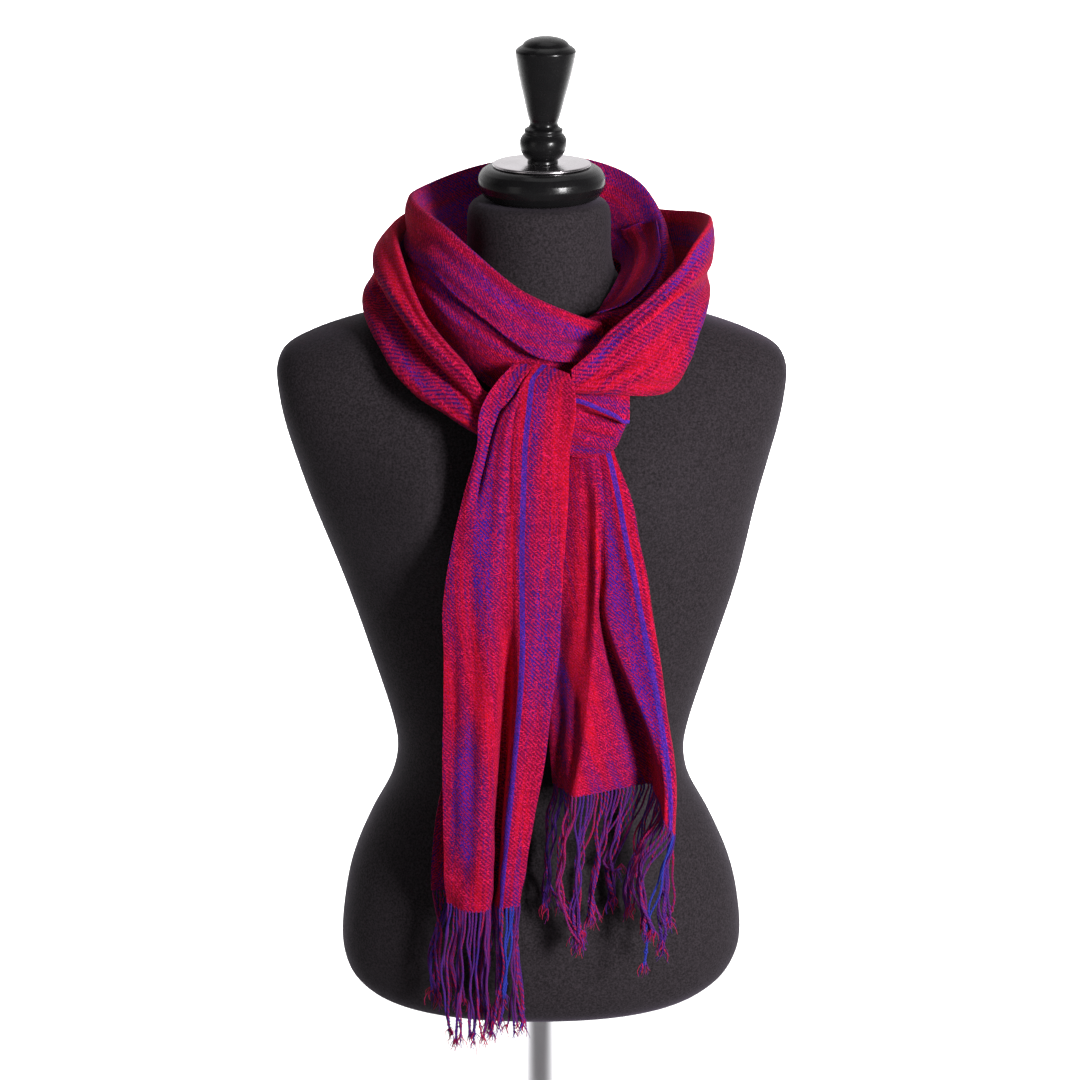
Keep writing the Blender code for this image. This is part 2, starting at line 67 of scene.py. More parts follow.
# Lights: name, place, aim and size in metres, watts, colour, and whether it lights the object alone
LIGHTS = (
    ("key", (1.95, -2.5, 1.4), (0, 0, 0.62), (0.7, 1), 180, (1, 0.99, 1), True),
    ("fill", (-2, -1.7, 1.3), (0, 0, 0.6), (1, 1.5), 4, (1, 0.97, 0.95), True),
    ("top", (0.1, 0.2, 2.5), (0, 0, 0.5), (1, 1), 3, (1, 1, 1), True),
    ("backdrop", (0, 1.6, 2.6), (0, 5, 0), (5, 1.5), 620, (1, 1, 1), False),
    ("far backdrop", (0, 4.5, 2.6), (0, 8.5, 0), (6, 1.5), 420, (1, 1, 1), False),
)
FLOOR_REACH = 30

# The cloth and its weave. Threads drift by so many threads, and most crossings are even. How fine the drift
# and the dye's patches and streaks are is given per metre, across and along the cloth
CLOTH_WALL = 0.9
THREAD = 0.84
THREAD_DRIFT = 2.4
EVEN_CROSSINGS = 0.87
DRIFT_SCALE = 70
PATCH_SCALE = (60, 5)
STREAK_SCALE = (420, 16)

# How far apart the stations are, and the millimetres that a turn's degree stands for along the weave
WRAP_SPACING = 1.2
LOOP_SPACING = 1.5
TAIL_SPACING = 3
INNER_DEGREE = 1.9
OUTER_DEGREE = 2.3

# How far each fold is rounded off, and at most over which share of the stretch beside it
WRAP_SOFTNESS = (0, 5, 4, 4, 5, 0)
LOOP_SOFTNESS = (0, 4, 2.5, 2.5, 6, 0)
FRONT_SOFTNESS = (0, 5, 4, 4, 3, 3.5, 5, 0)
SIDE_SOFTNESS = (0, 5, 2, 5, 2, 3, 3, 0)
WIDEST_FOLD = 0.38

# The points laid on each flat stretch and round each fold
WRAP_STEPS = (10, 7)
NARROW_STEPS = (8, 6)
TURNED_STEPS = (3, 5)
SHARP_ANGLE = 55

# Creases fade over a share of their length, and ripples run over the whole cloth and along the hems
CREASE_FADE = 0.25
RIPPLE_REACH = 42
HEM_RIPPLE_REACH = 26
HEM_RIPPLE_WAVES = 4
HEM_WAVE = 1.6
HEM_WAVE_REACH = 90

# The fringes' strands, their knots and their frayed tips
STRANDS = 58
STRAND_SIDES = 5
STRAND_STEPS = 100
STRAND_WAVES = (7, 13, 24)
PLY_RADIUS = 0.52
PLY_OFFSET = 0.5
TWIST = 5.5
KNOT_LENGTH = 1.6
FRAYS = 6
FRAY_POINTS = 7
FRAY_SIDES = 4
FRAY_RADII = (0.38, 0.16)
TUBE_GUIDE = (0.31, 0.95, 0.12)
TWIST_GUIDE = (0.05, 1, 0.02)
BLUE_TINT = 2

# Blue stripes: the middle across the cloth and the half width. Blue strands: the share of the hem
LOOP_STRIPE = (148, 1.8)
FRONT_STRIPE = (68, 2.1)
SIDE_STRIPE = (118, 2.1)
FRONT_BLUE = (0.45, 0.5)
SIDE_BLUE = (0.82, 0.86)

# The form and its stand
NECK_TOP = 917
FORM_BOTTOM = 256
CAP_ASIDE = 1.3
FINIAL_ASIDE = 2.1
FINIAL_LEAN = 0.026
SEAM_GAP = 0.3
POLE_RADIUS = 11
FLANGE_RADIUS = 32
FLANGE_HEIGHT = 5
BASE_RADIUS = 175
BASE_HEIGHT = 14

# The cover's seam lies this far behind the axis, and its knit has columns and rows of loops this wide
COVER_SEAM = 6
COVER_SEAM_HALF = 0.6
WALE = 1.1
COURSE = 0.9

# Colours, the dyes' from scarlet to blue
SCARLET = (0.42, 0.003, 0.014)
CRIMSON = (0.185, 0.002, 0.022)
MAGENTA = (0.13, 0.003, 0.05)
PURPLE = (0.07, 0.006, 0.095)
VIOLET = (0.042, 0.007, 0.12)
SELVEDGE = (0.034, 0.01, 0.25)
WARP_STOPS = ((0, SCARLET), (0.2, CRIMSON), (0.42, MAGENTA), (0.6, PURPLE), (0.82, VIOLET), (1, SELVEDGE))
WEFT = ((0.5, 0.008, 0.052), (0.37, 0.004, 0.048))
PURPLE_WEFT = (0.2, 0.008, 0.09)
STRIPE = ((0.03, 0.013, 0.24), (0.052, 0.018, 0.3))
YARN_STOPS = ((0, (0.42, 0.004, 0.05)), (0.16, (0.26, 0.005, 0.08)), (0.34, (0.14, 0.009, 0.13)),
              (0.6, (0.08, 0.01, 0.16)), (0.85, (0.05, 0.012, 0.2)), (1, (0.04, 0.016, 0.3)))
BLUE_YARN = (0.022, 0.034, 0.34)
SATIN = (0.5, 0.47, 0.49)
CHROME = (0.86, 0.85, 0.88)

# The cloth's tables: a column's two numbers are radius and height in a turn, reach forward and height in
# the loop, and x and reach forward in a hanging end
INNER_WRAP = (
    # azimuth, inner, rim, crease, tuck, pleat, foot
    (-28, 82.7, 810.5, 99, 842.5, 111, 807, 105.5, 814.5, 106.5, 800, 104.5, 782),
    (-20, 81, 813, 98, 847, 114, 809, 107, 817, 107, 801, 105, 782),
    (-10, 79, 820, 97, 854, 121, 812, 110, 822, 108, 806, 106, 782),
    (0, 76, 828, 95.5, 861, 122, 816, 111, 826, 109, 810, 104, 781),
    (10, 73, 836, 94, 869, 116, 826, 107, 833, 109, 814, 101, 781),
    (23, 70, 846, 92, 883, 110, 841, 103, 848, 109, 824, 98, 789),
    (37, 68, 852, 92, 898, 107, 855, 101, 862, 108, 832, 97, 803),
    (54, 67, 857, 92, 911, 105, 870, 100, 876, 107, 850, 101, 818),
    (71, 66, 860, 95, 917, 106, 873, 101, 880, 107, 858, 104.5, 831),
    (90, 65, 860, 101, 922, 107, 878, 102, 884, 108, 860, 106, 835.5),
    (120, 66, 867, 103, 923, 107, 882, 102, 888, 107, 860, 105, 838),
    (150, 64, 867, 97, 932, 102, 889, 97, 894, 102, 862, 100, 842),
    (180, 63, 867, 92, 938, 96, 893, 91, 898, 96, 864, 94, 844),
    (206, 64, 867, 95, 936, 100, 890, 95, 895, 100, 862, 98, 842),
    (232, 64, 866, 100, 923, 105, 880, 100, 886, 105, 860, 103, 840),
    (256, 64, 864, 100, 900, 106, 868, 101, 873, 107, 855, 104, 837),
    (272, 64, 863, 99, 890, 107, 862, 102, 867, 107, 851, 104, 835.5),
    (291, 65, 860, 104, 873, 110, 850, 105, 855, 110, 838, 107, 826),
    (311, 68, 848, 108, 856, 112, 834, 107, 839, 111, 822, 108, 806),
    (320, 70, 840, 103, 848, 106, 828, 102, 830, 104, 815, 102, 799),
    (328, 71, 836, 92, 843, 90, 826, 87.5, 827, 84, 814, 83, 801),
    (336, 72, 833, 87, 839, 85, 824, 82.5, 825, 79.5, 813, 78.5, 802),
    (346, 71.5, 832, 82, 837, 80, 823, 78.5, 824, 76.5, 812, 76, 803),
)

OUTER_WRAP = (
    # azimuth, inner, rim, roll, valley, lower roll, foot
    (13, 114, 776, 119, 789, 121, 785, 119.5, 775, 122, 764, 116, 757),
    (20, 117, 776, 125, 796, 129, 787, 129, 776, 132, 764, 124, 756),
    (26, 116, 786, 125, 813, 130.5, 801, 129, 786, 135, 772, 127, 762),
    (35, 114, 800, 124, 829, 132, 815, 126, 796, 137.5, 783, 129, 772),
    (46, 112.5, 814, 121, 845, 131.5, 830, 123, 811, 139, 793, 131, 781),
    (55, 111.5, 828, 118, 861, 131, 843, 122, 823, 140, 803, 132, 793),
    (66, 110, 842, 114.5, 878, 132, 857, 123, 838, 141.5, 821, 134, 811.5),
    (77, 109.5, 850, 112.5, 890, 133, 867, 127, 849, 142, 830.5, 134, 824),
    (90, 109.5, 852, 112.5, 897, 132, 875, 129, 859, 141, 838, 133.5, 828.5),
    (115, 110, 852, 114.5, 900, 130, 877, 127.5, 861, 134.5, 842, 127.5, 830),
    (145, 106, 853, 114, 900, 125, 878, 120, 861, 126, 838, 116, 820),
    (180, 100, 850, 109, 899, 118, 877, 112, 859, 117, 834, 105, 813),
    (212, 104, 850, 115, 897, 125, 877, 119, 859, 125, 837, 115, 820),
    (235, 108, 850, 123, 898, 132, 878, 126, 860, 131, 842, 123, 829),
    (258, 111, 850, 131, 905, 137, 882, 130, 862, 134, 845, 128, 832),
    (279, 112, 848, 133, 907, 137, 883, 130, 857, 135, 840, 127, 826),
    (294, 114, 840, 131, 897, 136, 876, 128, 855, 138, 828, 129, 814),
    (303, 115, 828, 129, 883, 135, 867, 127, 855, 141, 808, 131, 797),
    (311, 116, 818, 127, 873, 134, 861, 127, 853, 144, 797, 134, 786),
    (320, 117, 812, 126, 862, 133, 851, 128, 843, 143, 797, 134, 785),
    (328, 118, 808, 126, 853, 133, 841, 129, 832, 143, 801, 135, 788),
    (336, 120, 806, 127, 842, 133.5, 831, 131, 819, 142, 801, 135, 791),
    (342, 123, 804, 129.5, 830, 134, 819, 132, 809, 139, 799, 134, 793),
    (349.5, 124.5, 800, 129.3, 814, 132, 808, 130.8, 802, 132.5, 797, 129.3, 793),
)

LOOP = (
    # x, behind, top, striped fold, tuck, bulge, under edge
    (20, 117, 782, 121, 792, 125, 788, 121, 783, 124, 764, 118, 742),
    (34, 112, 778, 121, 794, 128, 785, 121, 779, 124, 760, 116, 739),
    (47, 108, 776, 121, 794.4, 128, 779, 119, 774, 123, 757, 115, 741),
    (58, 104, 775, 119.6, 793.4, 127, 773.5, 117, 769, 121, 757, 114, 747),
    (63, 100, 776, 117.4, 792.6, 125, 768.5, 114, 767, 116, 762.5, 110, 757),
    (68, 97, 778, 113.6, 790.2, 120, 766.5, 109, 768.5, 107, 768, 103, 767),
)

FRONT_TAIL = (
    # height, left, crease, ridge, valley, stripe, right, behind, back edge
    (813, -20, 115.5, -13, 116, -7, 117, -3, 117, 2, 117.5, 25, 131.5, 16, 127, 8, 120),
    (808, -26, 122, -17, 121, -10, 124, -7, 124, -4, 125, 26, 133, 16, 129, 8, 124),
    (804, -31, 126, -20, 124, -14, 129, -11, 129, -7.6, 130, 28, 134.5, 17, 130, 8, 126),
    (790, -41, 129, -29, 126, -20, 131, -15, 131, -9.5, 132, 29.5, 135, 18, 130, 8, 127),
    (775, -46.5, 130, -36, 127, -26, 132, -19, 132, -11, 133, 29.5, 134.5, 18, 130, 8, 127),
    (752, -48, 130, -42, 129, -31, 132, -22, 132, -13, 133, 26, 133, 15, 128, 4, 126),
    (710, -59, 129, -50, 131, -34, 133, -24, 132, -14.5, 134, 24, 132, 8, 124, -6, 121),
    (665, -69, 128, -56, 132, -36, 134, -25, 131, -15.4, 134, 21.5, 131, 2, 121, -16, 119),
    (620, -75, 127, -58, 132, -37, 134, -25, 128, -15, 134, 18.5, 130, -6, 117, -28, 118),
    (588, -74.5, 127, -58, 132, -37, 135, -25, 123, -14.7, 135, 17.5, 129, -12, 113, -42, 116),
    (545, -75, 126, -58, 132, -38, 135, -26, 118, -17, 135, 12, 128, -20, 109, -56, 114),
    (498, -76, 125, -59, 131, -38.5, 135, -28.5, 114, -21, 135, 6, 127, -30, 106, -70, 112),
    (450, -76, 124, -60, 131, -39, 135, -32, 112, -25.5, 135, -2, 127, -38, 104, -81, 110),
    (400, -75, 123, -60, 130, -40, 134, -34.5, 111, -30, 134, -10, 127, -44, 103, -86, 108),
    (375, -74, 122, -59, 130, -41, 134, -36, 111, -31.5, 134, -14.7, 127, -46, 103, -86, 107),
)

SIDE_TAIL = (
    # height, back edge, panel, ridge, hollow, edge, stripe, right, behind
    (751, 18, 104, 27, 108, 36, 111, 40, 109.5, 44, 110, 49, 111, 56, 109, 50, 103),
    (738, 14, 105, 27, 112, 41, 116, 44, 113.5, 48, 114, 53, 116, 60, 114, 54, 107),
    (707, 8, 108, 26, 116, 44, 122, 47.5, 118, 51.5, 119.5, 60, 122, 71.5, 120, 66, 113),
    (674, 3, 109, 26, 118, 44.5, 126, 47.5, 120, 51.5, 123, 67, 127, 78, 125, 72, 117),
    (649, 2, 110, 25, 119, 44.5, 128, 47.5, 121, 51.5, 126, 73, 130, 84, 127, 77, 119),
    (620, 2, 110, 24, 119, 43.5, 130, 46.5, 121, 51, 129, 79, 132, 88, 129, 81, 120),
    (584, 2, 109, 22, 119, 41.5, 132, 55, 114, 61, 132, 86, 135, 93.7, 131, 86, 121),
    (554, 2, 108, 20, 118, 38.5, 133, 67, 108, 73, 134.5, 91.5, 137, 98, 132, 90, 121),
    (525, 6, 107, 20, 119, 35.5, 134, 78, 104, 85, 136.5, 95.5, 138, 102, 133, 96, 121),
    (488, 9, 106, 19, 119, 30, 134, 88, 101, 96, 138, 101, 139, 107, 133, 102, 120),
    (470, 10, 106, 18.5, 119, 27.5, 134, 89, 100, 97, 139, 101.5, 140, 106.5, 133, 102, 120),
)

# How far each column of a hanging end is dropped at its top or its hem, and how far along that reaches
FRONT_TOP_DROP = (0, 0, 0, 0, 0, 5, 5, 5)
TOP_REACH = 12
FRONT_HEM_DROP = (-2, 2, 1, -1, -1, -3, -5, -7)
SIDE_HEM_DROP = (-2, 0, 0, 0, 18, 26, 34, 12)
HEM_REACH = 60

# The second layer inside the inner turn: where it lies, how far it stands off the first, and its blue edge
LAYER_AZIMUTHS = (240, 330)
LAYER_PLACES = (0.3, 0.89)
LAYER_RISE = 20
LAYER_NEAR = 1.1
LAYER_FAR = 3.6
LAYER_COLUMNS = 24
LAYER_STEP = 2.3
LAYER_EDGE = 0.95
LAYER_EDGE_DYE = 1.2

# Where each column lies across the cloth, in millimetres
INNER_ACROSS = (0, 66, 112, 121, 152, 178)
OUTER_ACROSS = (0, 46, 70, 89, 112, 128)
LOOP_ACROSS = (120, 137, 148, 155, 176, 196)
FRONT_ACROSS = (0, 18, 39, 54, 68, 102, 135, 168)
SIDE_ACROSS = (0, 21, 45, 72, 98, 118, 127, 140)

# The padded form: its widest half, how far it reaches forward and back, and how square its section is
FORM = (
    # height, half width, front, back, squareness, how far its middle is to the right
    (FORM_BOTTOM, 112, 70, 82, 2.2, -3), (FORM_BOTTOM + 2, 128, 80, 94, 2.2, -3),
    (266, 143, 90, 106, 2.2, -2.5), (280, 156, 97, 117, 2.2, -1), (303, 163, 101, 122, 2.2, 0.7),
    (340, 160.5, 101, 122, 2.2, 1), (371, 153.5, 98, 116, 2.2, 0.5), (406, 139, 92, 103, 2.2, 0),
    (441, 121, 86, 88, 2.2, 0), (467, 116, 84, 81, 2.2, 0.5), (492, 119.5, 84, 79, 2.2, 1),
    (543, 135, 88, 82, 2.2, 1.2), (611, 157, 95, 88, 2.2, 0.6), (677, 177, 101, 94, 2.3, -4.5),
    (710, 187, 101, 96, 2.3, -5.8), (743, 196, 94, 97, 2.5, -6.4), (770, 200.5, 82, 93, 2.7, -6.5),
    (786, 200.8, 74, 87, 2.7, -6.6), (798, 194.8, 69, 80, 2.5, -6.8), (808, 178.5, 65, 76, 2.3, -7),
    (816, 158.5, 63, 73, 2.2, -6.5), (824, 132, 61, 69, 2.1, -5), (832, 107, 60, 66, 2, -2.5),
    (840, 85, 59.5, 63, 2, -0.8), (850, 68, 59, 60.5, 2, -0.6), (862, 59.5, 57.5, 58, 2, -0.8),
    (880, 56.5, 56, 56.5, 2, -0.8), (905, 56, 55.5, 56, 2, -0.8),
    (NECK_TOP - 4, 54, 53.5, 54, 2, -0.8), (NECK_TOP, 49, 48.5, 49, 2, -0.8),
)
FORM_TURNS = 144
FORM_ROWS = 190
BUST_HEIGHT = 693
BUST_X = 82
BUST_RISE = 14
BUST_SPREAD = 48

# Turned outlines: radius, height above the piece's foot, and how far the corner there is rounded
CAP = (
    (37, 0, 0), (43, 1.2, 2), (47, 5, 3), (49.5, 10.5, 3), (50, 15, 3), (48.5, 20.5, 3), (45, 24.3, 2),
    (41, 26, 0),
)
PLATE = ((38, 0, 0), (38.5, 0.8, 0.3), (38.3, 2, 0.3), (37.6, 2.5, 0.3), (20, 2.6, 0))
FINIAL = (
    (12, 0, 0), (11.6, 2, 0.5), (15.6, 5.5, 2.5), (18.3, 10.5, 2.5), (18.3, 18, 1.2), (16.3, 21.5, 0.5),
    (15.1, 22.5, 0.4), (15.1, 26, 0.5), (11.8, 28, 0.5), (10.8, 30.5, 1.2), (13, 37, 3), (15.9, 49.5, 4),
    (19.2, 62, 4), (21.9, 74.5, 4), (23.5, 84.5, 1.5), (23.6, 87.5, 0.8), (21.3, 89.8, 0.3),
    (18.6, 91.4, 0.3), (16.2, 94.6, 1.5), (10, 97.4, 2.5), (3, 98.2, 0),
)
BASE = (
    (BASE_RADIUS - 1.5, 0, 0), (BASE_RADIUS, 1.5, 0.8), (BASE_RADIUS, BASE_HEIGHT - 5, 2),
    (BASE_RADIUS - 3, BASE_HEIGHT - 2, 2), (BASE_RADIUS - 15, BASE_HEIGHT - 0.6, 5),
    (POLE_RADIUS + 9, BASE_HEIGHT, 0),
)
FLANGE = (
    (POLE_RADIUS + 4, 0, 0), (POLE_RADIUS + 6, 1, 0.5), (FLANGE_RADIUS - 1, FLANGE_HEIGHT - 2.6, 0.5),
    (FLANGE_RADIUS, FLANGE_HEIGHT - 2, 0.4), (FLANGE_RADIUS, FLANGE_HEIGHT - 0.4, 0.2),
    (FLANGE_RADIUS - 0.4, FLANGE_HEIGHT, 0),
)

# Creases laid one by one: the station and place where each starts, the same where it ends, half width, height
INNER_CREASES = (
    (52, 3.3, 4, 3.2, 4, -4), (60, 3.75, 8, 3.7, 4, 2.4), (66, 1.45, -30, 1.5, 6, -2.2),
    (40, 1.15, -34, 1.6, 4, -3), (70, 1.75, 6, 1.62, 5, 2.2), (14, 1.75, -34, 1.35, 3, -2.4),
    (60, 1.78, -34, 1.82, 3.5, -1.6), (108, 1.3, 34, 1.3, 8, 2), (104, 1.6, 74, 1.75, 4, -2.4),
    (60, 0.75, -20, 0.6, 6, -2.5), (64, 3.2, -20, 3.3, 5, 2.2), (70, 3.65, -10, 3.6, 4, -3),
    (250, 1.4, 118, 1.6, 6, -3), (228, 1.7, 140, 1.25, 5, -2.6), (306, 1.3, 205, 1.55, 5, -2.4),
    (130, 0.6, 232, 0.45, 9, -3), (205, 0.75, 300, 0.6, 7, -2.4), (310, 0.3, 240, 0.5, 6, 1.6),
    (200, 4.4, 100, 4.4, 6, -2.4),
)
OUTER_CREASES = (
    (96, 1.45, 16, 1.5, 4, -2.2), (74, 1.8, 14, 1.75, 3, 1.6), (92, 2.75, 14, 2.95, 4.5, -6),
    (100, 3.55, 24, 3.5, 5, 1.8), (86, 3.35, 30, 3.6, 4.5, -2.6), (84, 3.05, 66, 3.1, 5, -5),
    (64, 4.2, 18, 4.3, 4, 2), (120, 2.5, 64, 2.55, 5, -2.4), (348, 1.5, 268, 1.45, 4, -2),
    (346, 1.8, 300, 1.75, 3, 1.6), (346, 2.9, 292, 2.95, 4, -3.6), (346, 2.25, 286, 1.7, 4.5, -4),
    (338, 2.6, 300, 2.45, 4, 2), (346, 3.45, 296, 3.4, 4.5, -3.2), (342, 3.75, 300, 3.8, 3.5, 2),
    (340, 4.3, 300, 4.3, 4, -2), (336, 2.4, 262, 2.5, 5, 1.8), (258, 1.5, 108, 1.5, 6, -3),
    (232, 3.5, 128, 3.2, 6, -3.2), (206, 2.4, 118, 2.6, 5, 2), (282, 2.5, 190, 2.3, 5, -2.2),
    (250, 4.4, 150, 4.4, 5, -2),
)
LOOP_CREASES = (
    (28, 3.25, 70, 2.95, 3.5, -4.2), (26, 3.9, 60, 4.2, 3, -2.2), (30, 1.5, 66, 1.5, 3, -1.6),
    (30, 2.8, 66, 2.6, 3, 1.8), (27, 1.05, 60, 1.1, 3, -2.2),
)
FRONT_CREASES = (
    (-811, 2.7, -772, 1.15, 3.2, -4.5), (-788, 1.5, -700, 0.95, 3.4, -4.2), (-780, 0.5, -690, 0.45, 5, 1.6),
    (-800, 2.6, -640, 2.1, 6, 2), (-800, 2.8, -690, 3.1, 3, -1.8), (-806, 4.6, -720, 4.7, 5, -1.6),
    (-790, 4.25, -560, 4.35, 5, 1.2), (-700, 1.2, -420, 1.4, 7, -2.2), (-640, 0.45, -400, 0.5, 5, -2),
    (-650, 4.5, -376, 4.6, 7, -1.8), (-560, 1.55, -376, 1.6, 6, 1.8), (-620, 3, -376, 3, 4, -3),
    (-640, 6.4, -376, 6.5, 8, -2.4),
)
SIDE_CREASES = (
    (-750, 2.3, -640, 2.5, 5, -2), (-748, 1.5, -560, 1.6, 5, -2.2), (-700, 4.4, -500, 4.5, 6, -1.6),
    (-700, 2.95, -480, 3, 7, -3), (-620, 2.5, -470, 2.6, 7, 1.6), (-640, 0.6, -470, 0.6, 6, -2),
    (-560, 1.4, -470, 1.5, 4, -2), (-735, 2, -600, 2, 4, 1.6),
)

# Broad dyed patches, a few of them painted light that brightens cloth lying in shade: station, place, reach
# along and across in millimetres, strength
INNER_DYE_AND_LIGHT = (
    (280, 0.96, 50, 4, 1.9), (132, 0.55, 75, 30, 1), (20, 1.6, 70, 9, 0.5), (60, 1.8, 60, 9, 0.4),
    # Painted light: the patch at station 70, place 0.7 is scarlet that brightens the turn's left side beyond
    # its dye
    (-15, 1.5, 30, 8, 0.5), (70, 0.7, 90, 14, -0.3), (75, 1.25, 40, 14, -0.7), (35, 1.15, 60, 6, -0.4),
    (200, 1.5, 130, 16, 0.5), (240, 1.4, 60, 10, -0.5), (50, 3.4, 60, 10, 0.4), (262, 0.6, 90, 24, 0.3),
    (130, 1.5, 60, 12, 0.3),
)
OUTER_DYE_AND_LIGHT = (
    # Painted light: the patch at station 72, place 1.45 is scarlet that brightens the top of the left roll
    (72, 1.45, 50, 11, -0.9), (60, 1.95, 60, 5, 0.9), (50, 2.5, 60, 7, -0.6), (338, 2.2, 25, 14, 0.9),
    (78, 2.6, 36, 8, -0.4), (52, 3.7, 60, 7, 0.5), (90, 3.4, 50, 9, 0.3), (30, 4.3, 40, 7, -0.5),
    # Painted highlight: the patch at station 284, place 1 is scarlet along the rim at the viewer's right,
    # which lies in shade
    (284, 1, 40, 6, -1.4), (298, 1.6, 55, 9, 1.2), (322, 2.1, 45, 6, 0.7), (318, 2.6, 45, 7, -1.1),
    (304, 3, 40, 5, 0.8), (322, 3.1, 50, 5, 0.4), (318, 3.6, 50, 7, -0.8), (294, 3.9, 45, 9, 1.1),
    (322, 4.3, 60, 8, -0.6), (170, 1.6, 110, 10, 0.5), (210, 2.8, 90, 10, -0.5), (150, 4, 90, 10, 0.5),
)
LOOP_DYE = ((50, 1.6, 20, 4, 0.5), (45, 3.6, 30, 8, -0.4), (60, 4.4, 25, 8, 0.3))
FRONT_DYE = (
    (-725, 1.2, 95, 14, 0.8), (-650, 1.5, 60, 12, 0.8), (-570, 0.9, 70, 16, -0.85),
    (-540, 2.2, 70, 10, -0.5), (-460, 1.1, 75, 12, 1.2), (-392, 1.2, 34, 18, -0.8),
    (-600, 3.4, 170, 6, -0.6), (-775, 5, 50, 16, -0.4), (-600, 4.6, 70, 14, 0.5),
    (-440, 4.5, 80, 10, -0.4), (-700, 4.85, 80, 8, -0.4), (-500, 6.4, 120, 16, 0.5),
)
SIDE_DYE_AND_LIGHT = (
    # Painted light: the patch at station -600, place 1.35 is scarlet that brightens the panel left of the
    # ridge, which lies in shade
    (-700, 2.2, 60, 12, -0.4), (-650, 4.3, 60, 9, 0.8), (-600, 1.35, 90, 12, -0.9), (-560, 0.9, 70, 9, 0.6),
    (-560, 4.6, 50, 10, 1), (-520, 2.9, 60, 11, 0.7), (-500, 1.9, 60, 9, -0.7), (-480, 3.7, 26, 16, -0.8),
    (-600, 5.6, 120, 4, -0.7), (-700, 5.6, 50, 4, 0.4),
)

# The fringes' bunches: up to which share of the hem; a waist's x, height and half width; the tips' the same
FRONT_BUNCHES = (
    (0.06, -75, 330, 3, -72, 264, 3), (0.12, -64, 325, 3, -64, 262, 4), (0.2, -52, 330, 4, -51, 265, 5),
    (0.33, -42, 320, 3, -41, 268, 4), (0.45, -31, 330, 4, -36, 273, 4),
    (0.5, -27.5, 325, 1.5, -28.5, 300, 1), (0.56, -20, 325, 4, -20, 271, 6),
    (0.66, -18, 325, 3, -14, 276, 3), (0.78, -45, 320, 8, -46, 280, 9), (0.88, -68, 330, 5, -66, 285, 6),
    (1, -83, 335, 4, -84, 290, 4),
)
SIDE_BUNCHES = (
    (0.09, 6, 415, 3, 9, 372, 5), (0.19, 16, 392, 1.2, 33, 348, 2), (0.3, 28, 385, 2.5, 30, 347, 3),
    (0.41, 41, 388, 1.5, 42, 364, 2), (0.45, 53, 402, 1, 60, 398, 1), (0.54, 56, 400, 4, 58, 372, 3),
    (0.63, 72, 400, 3, 70, 366, 2), (0.72, 76, 412, 2, 83, 360, 3), (0.82, 79, 408, 2.5, 86, 358, 3),
    (0.86, 91, 385, 1, 81, 330, 1), (0.93, 97, 385, 3, 95, 344, 3), (1, 101, 390, 3, 103, 358, 2),
)


def smooth_run(keys, values, at):
    """Rows of values read at new keys, with a smooth cubic run between the rows."""
    at = np.clip(at, keys[0], keys[-1])
    first = np.clip(np.searchsorted(keys, at, side="right") - 1, 0, len(keys) - 2)
    index = np.arange(len(keys))
    low, high = np.maximum(index - 1, 0), np.minimum(index + 1, len(keys) - 1)
    slopes = (values[high] - values[low]) / (keys[high] - keys[low])[:, None]
    span = (keys[first + 1] - keys[first])[:, None]
    t = (at - keys[first])[:, None] / span
    start, leave = (1 + 2 * t) * (1 - t) ** 2, t * (1 - t) ** 2 * span
    stop, arrive = t * t * (3 - 2 * t), t * t * (t - 1) * span
    return (start * values[first] + leave * slopes[first]
            + stop * values[first + 1] + arrive * slopes[first + 1])


def smooth_step(low, high, value):
    t = np.clip((value - low) / (high - low), 0, 1)
    return t * t * (3 - 2 * t)


def unit(vectors):
    return vectors / np.maximum(np.linalg.norm(vectors, axis=-1, keepdims=True), 1e-9)


def run_along(points):
    """How far along its line each point lies."""
    return np.concatenate([[0], np.cumsum(np.linalg.norm(np.diff(points, axis=0), axis=1))])


def across_at(places, across):
    """Places turned into millimetres across the cloth."""
    return np.interp(places, np.arange(len(across)), across)


def folded_line(points, softness, steps):
    """A smooth line through fold points, each rounded off over its softness, and the place of each point.

    The steps are the points laid on each flat stretch and round each fold.
    """
    marks, places = [points[0]], [0]
    for k in range(1, len(points) - 1):
        for other, side in ((k - 1, -1), (k + 1, 1)):
            away = points[other] - points[k]
            share = min(WIDEST_FOLD, softness[k] / math.hypot(*away))
            marks.append(points[k] + away * share)
            places.append(k + side * share)
    marks = np.array([*marks, points[-1]])
    places.append(len(points) - 1)
    run = run_along(marks)
    spots = [0]
    for i in range(len(marks) - 1):
        count = steps[i % 2]
        spots += [i + k / count for k in range(1, count + 1)]
    at = np.interp(spots, np.arange(len(marks)), run)
    return smooth_run(run, marks, at), np.interp(at, run, places)


def swept(rows, spacing, softness, steps, corners_of):
    """The cloth's points at even stations of a table, the stations, and each point's place across it."""
    rows = np.array(rows, float)
    first, last = rows[0, 0], rows[-1, 0]
    stations = np.linspace(first, last, round((last - first) / spacing) + 1)
    readings = smooth_run(rows[:, 0], rows[:, 1:], stations)
    lines = [folded_line(corners_of(station, row.reshape(-1, 2)), softness, steps)
             for station, row in zip(stations, readings)]
    points, places = zip(*lines)
    return np.array(points), stations, np.array(places)


def wrap_points(rows):
    """A turn round the neck."""

    def corners(azimuth, row):
        turn = math.radians(azimuth)
        return np.column_stack([-row[:, 0] * math.sin(turn), -row[:, 0] * math.cos(turn), row[:, 1]])

    return swept(rows, WRAP_SPACING, WRAP_SOFTNESS, WRAP_STEPS, corners)


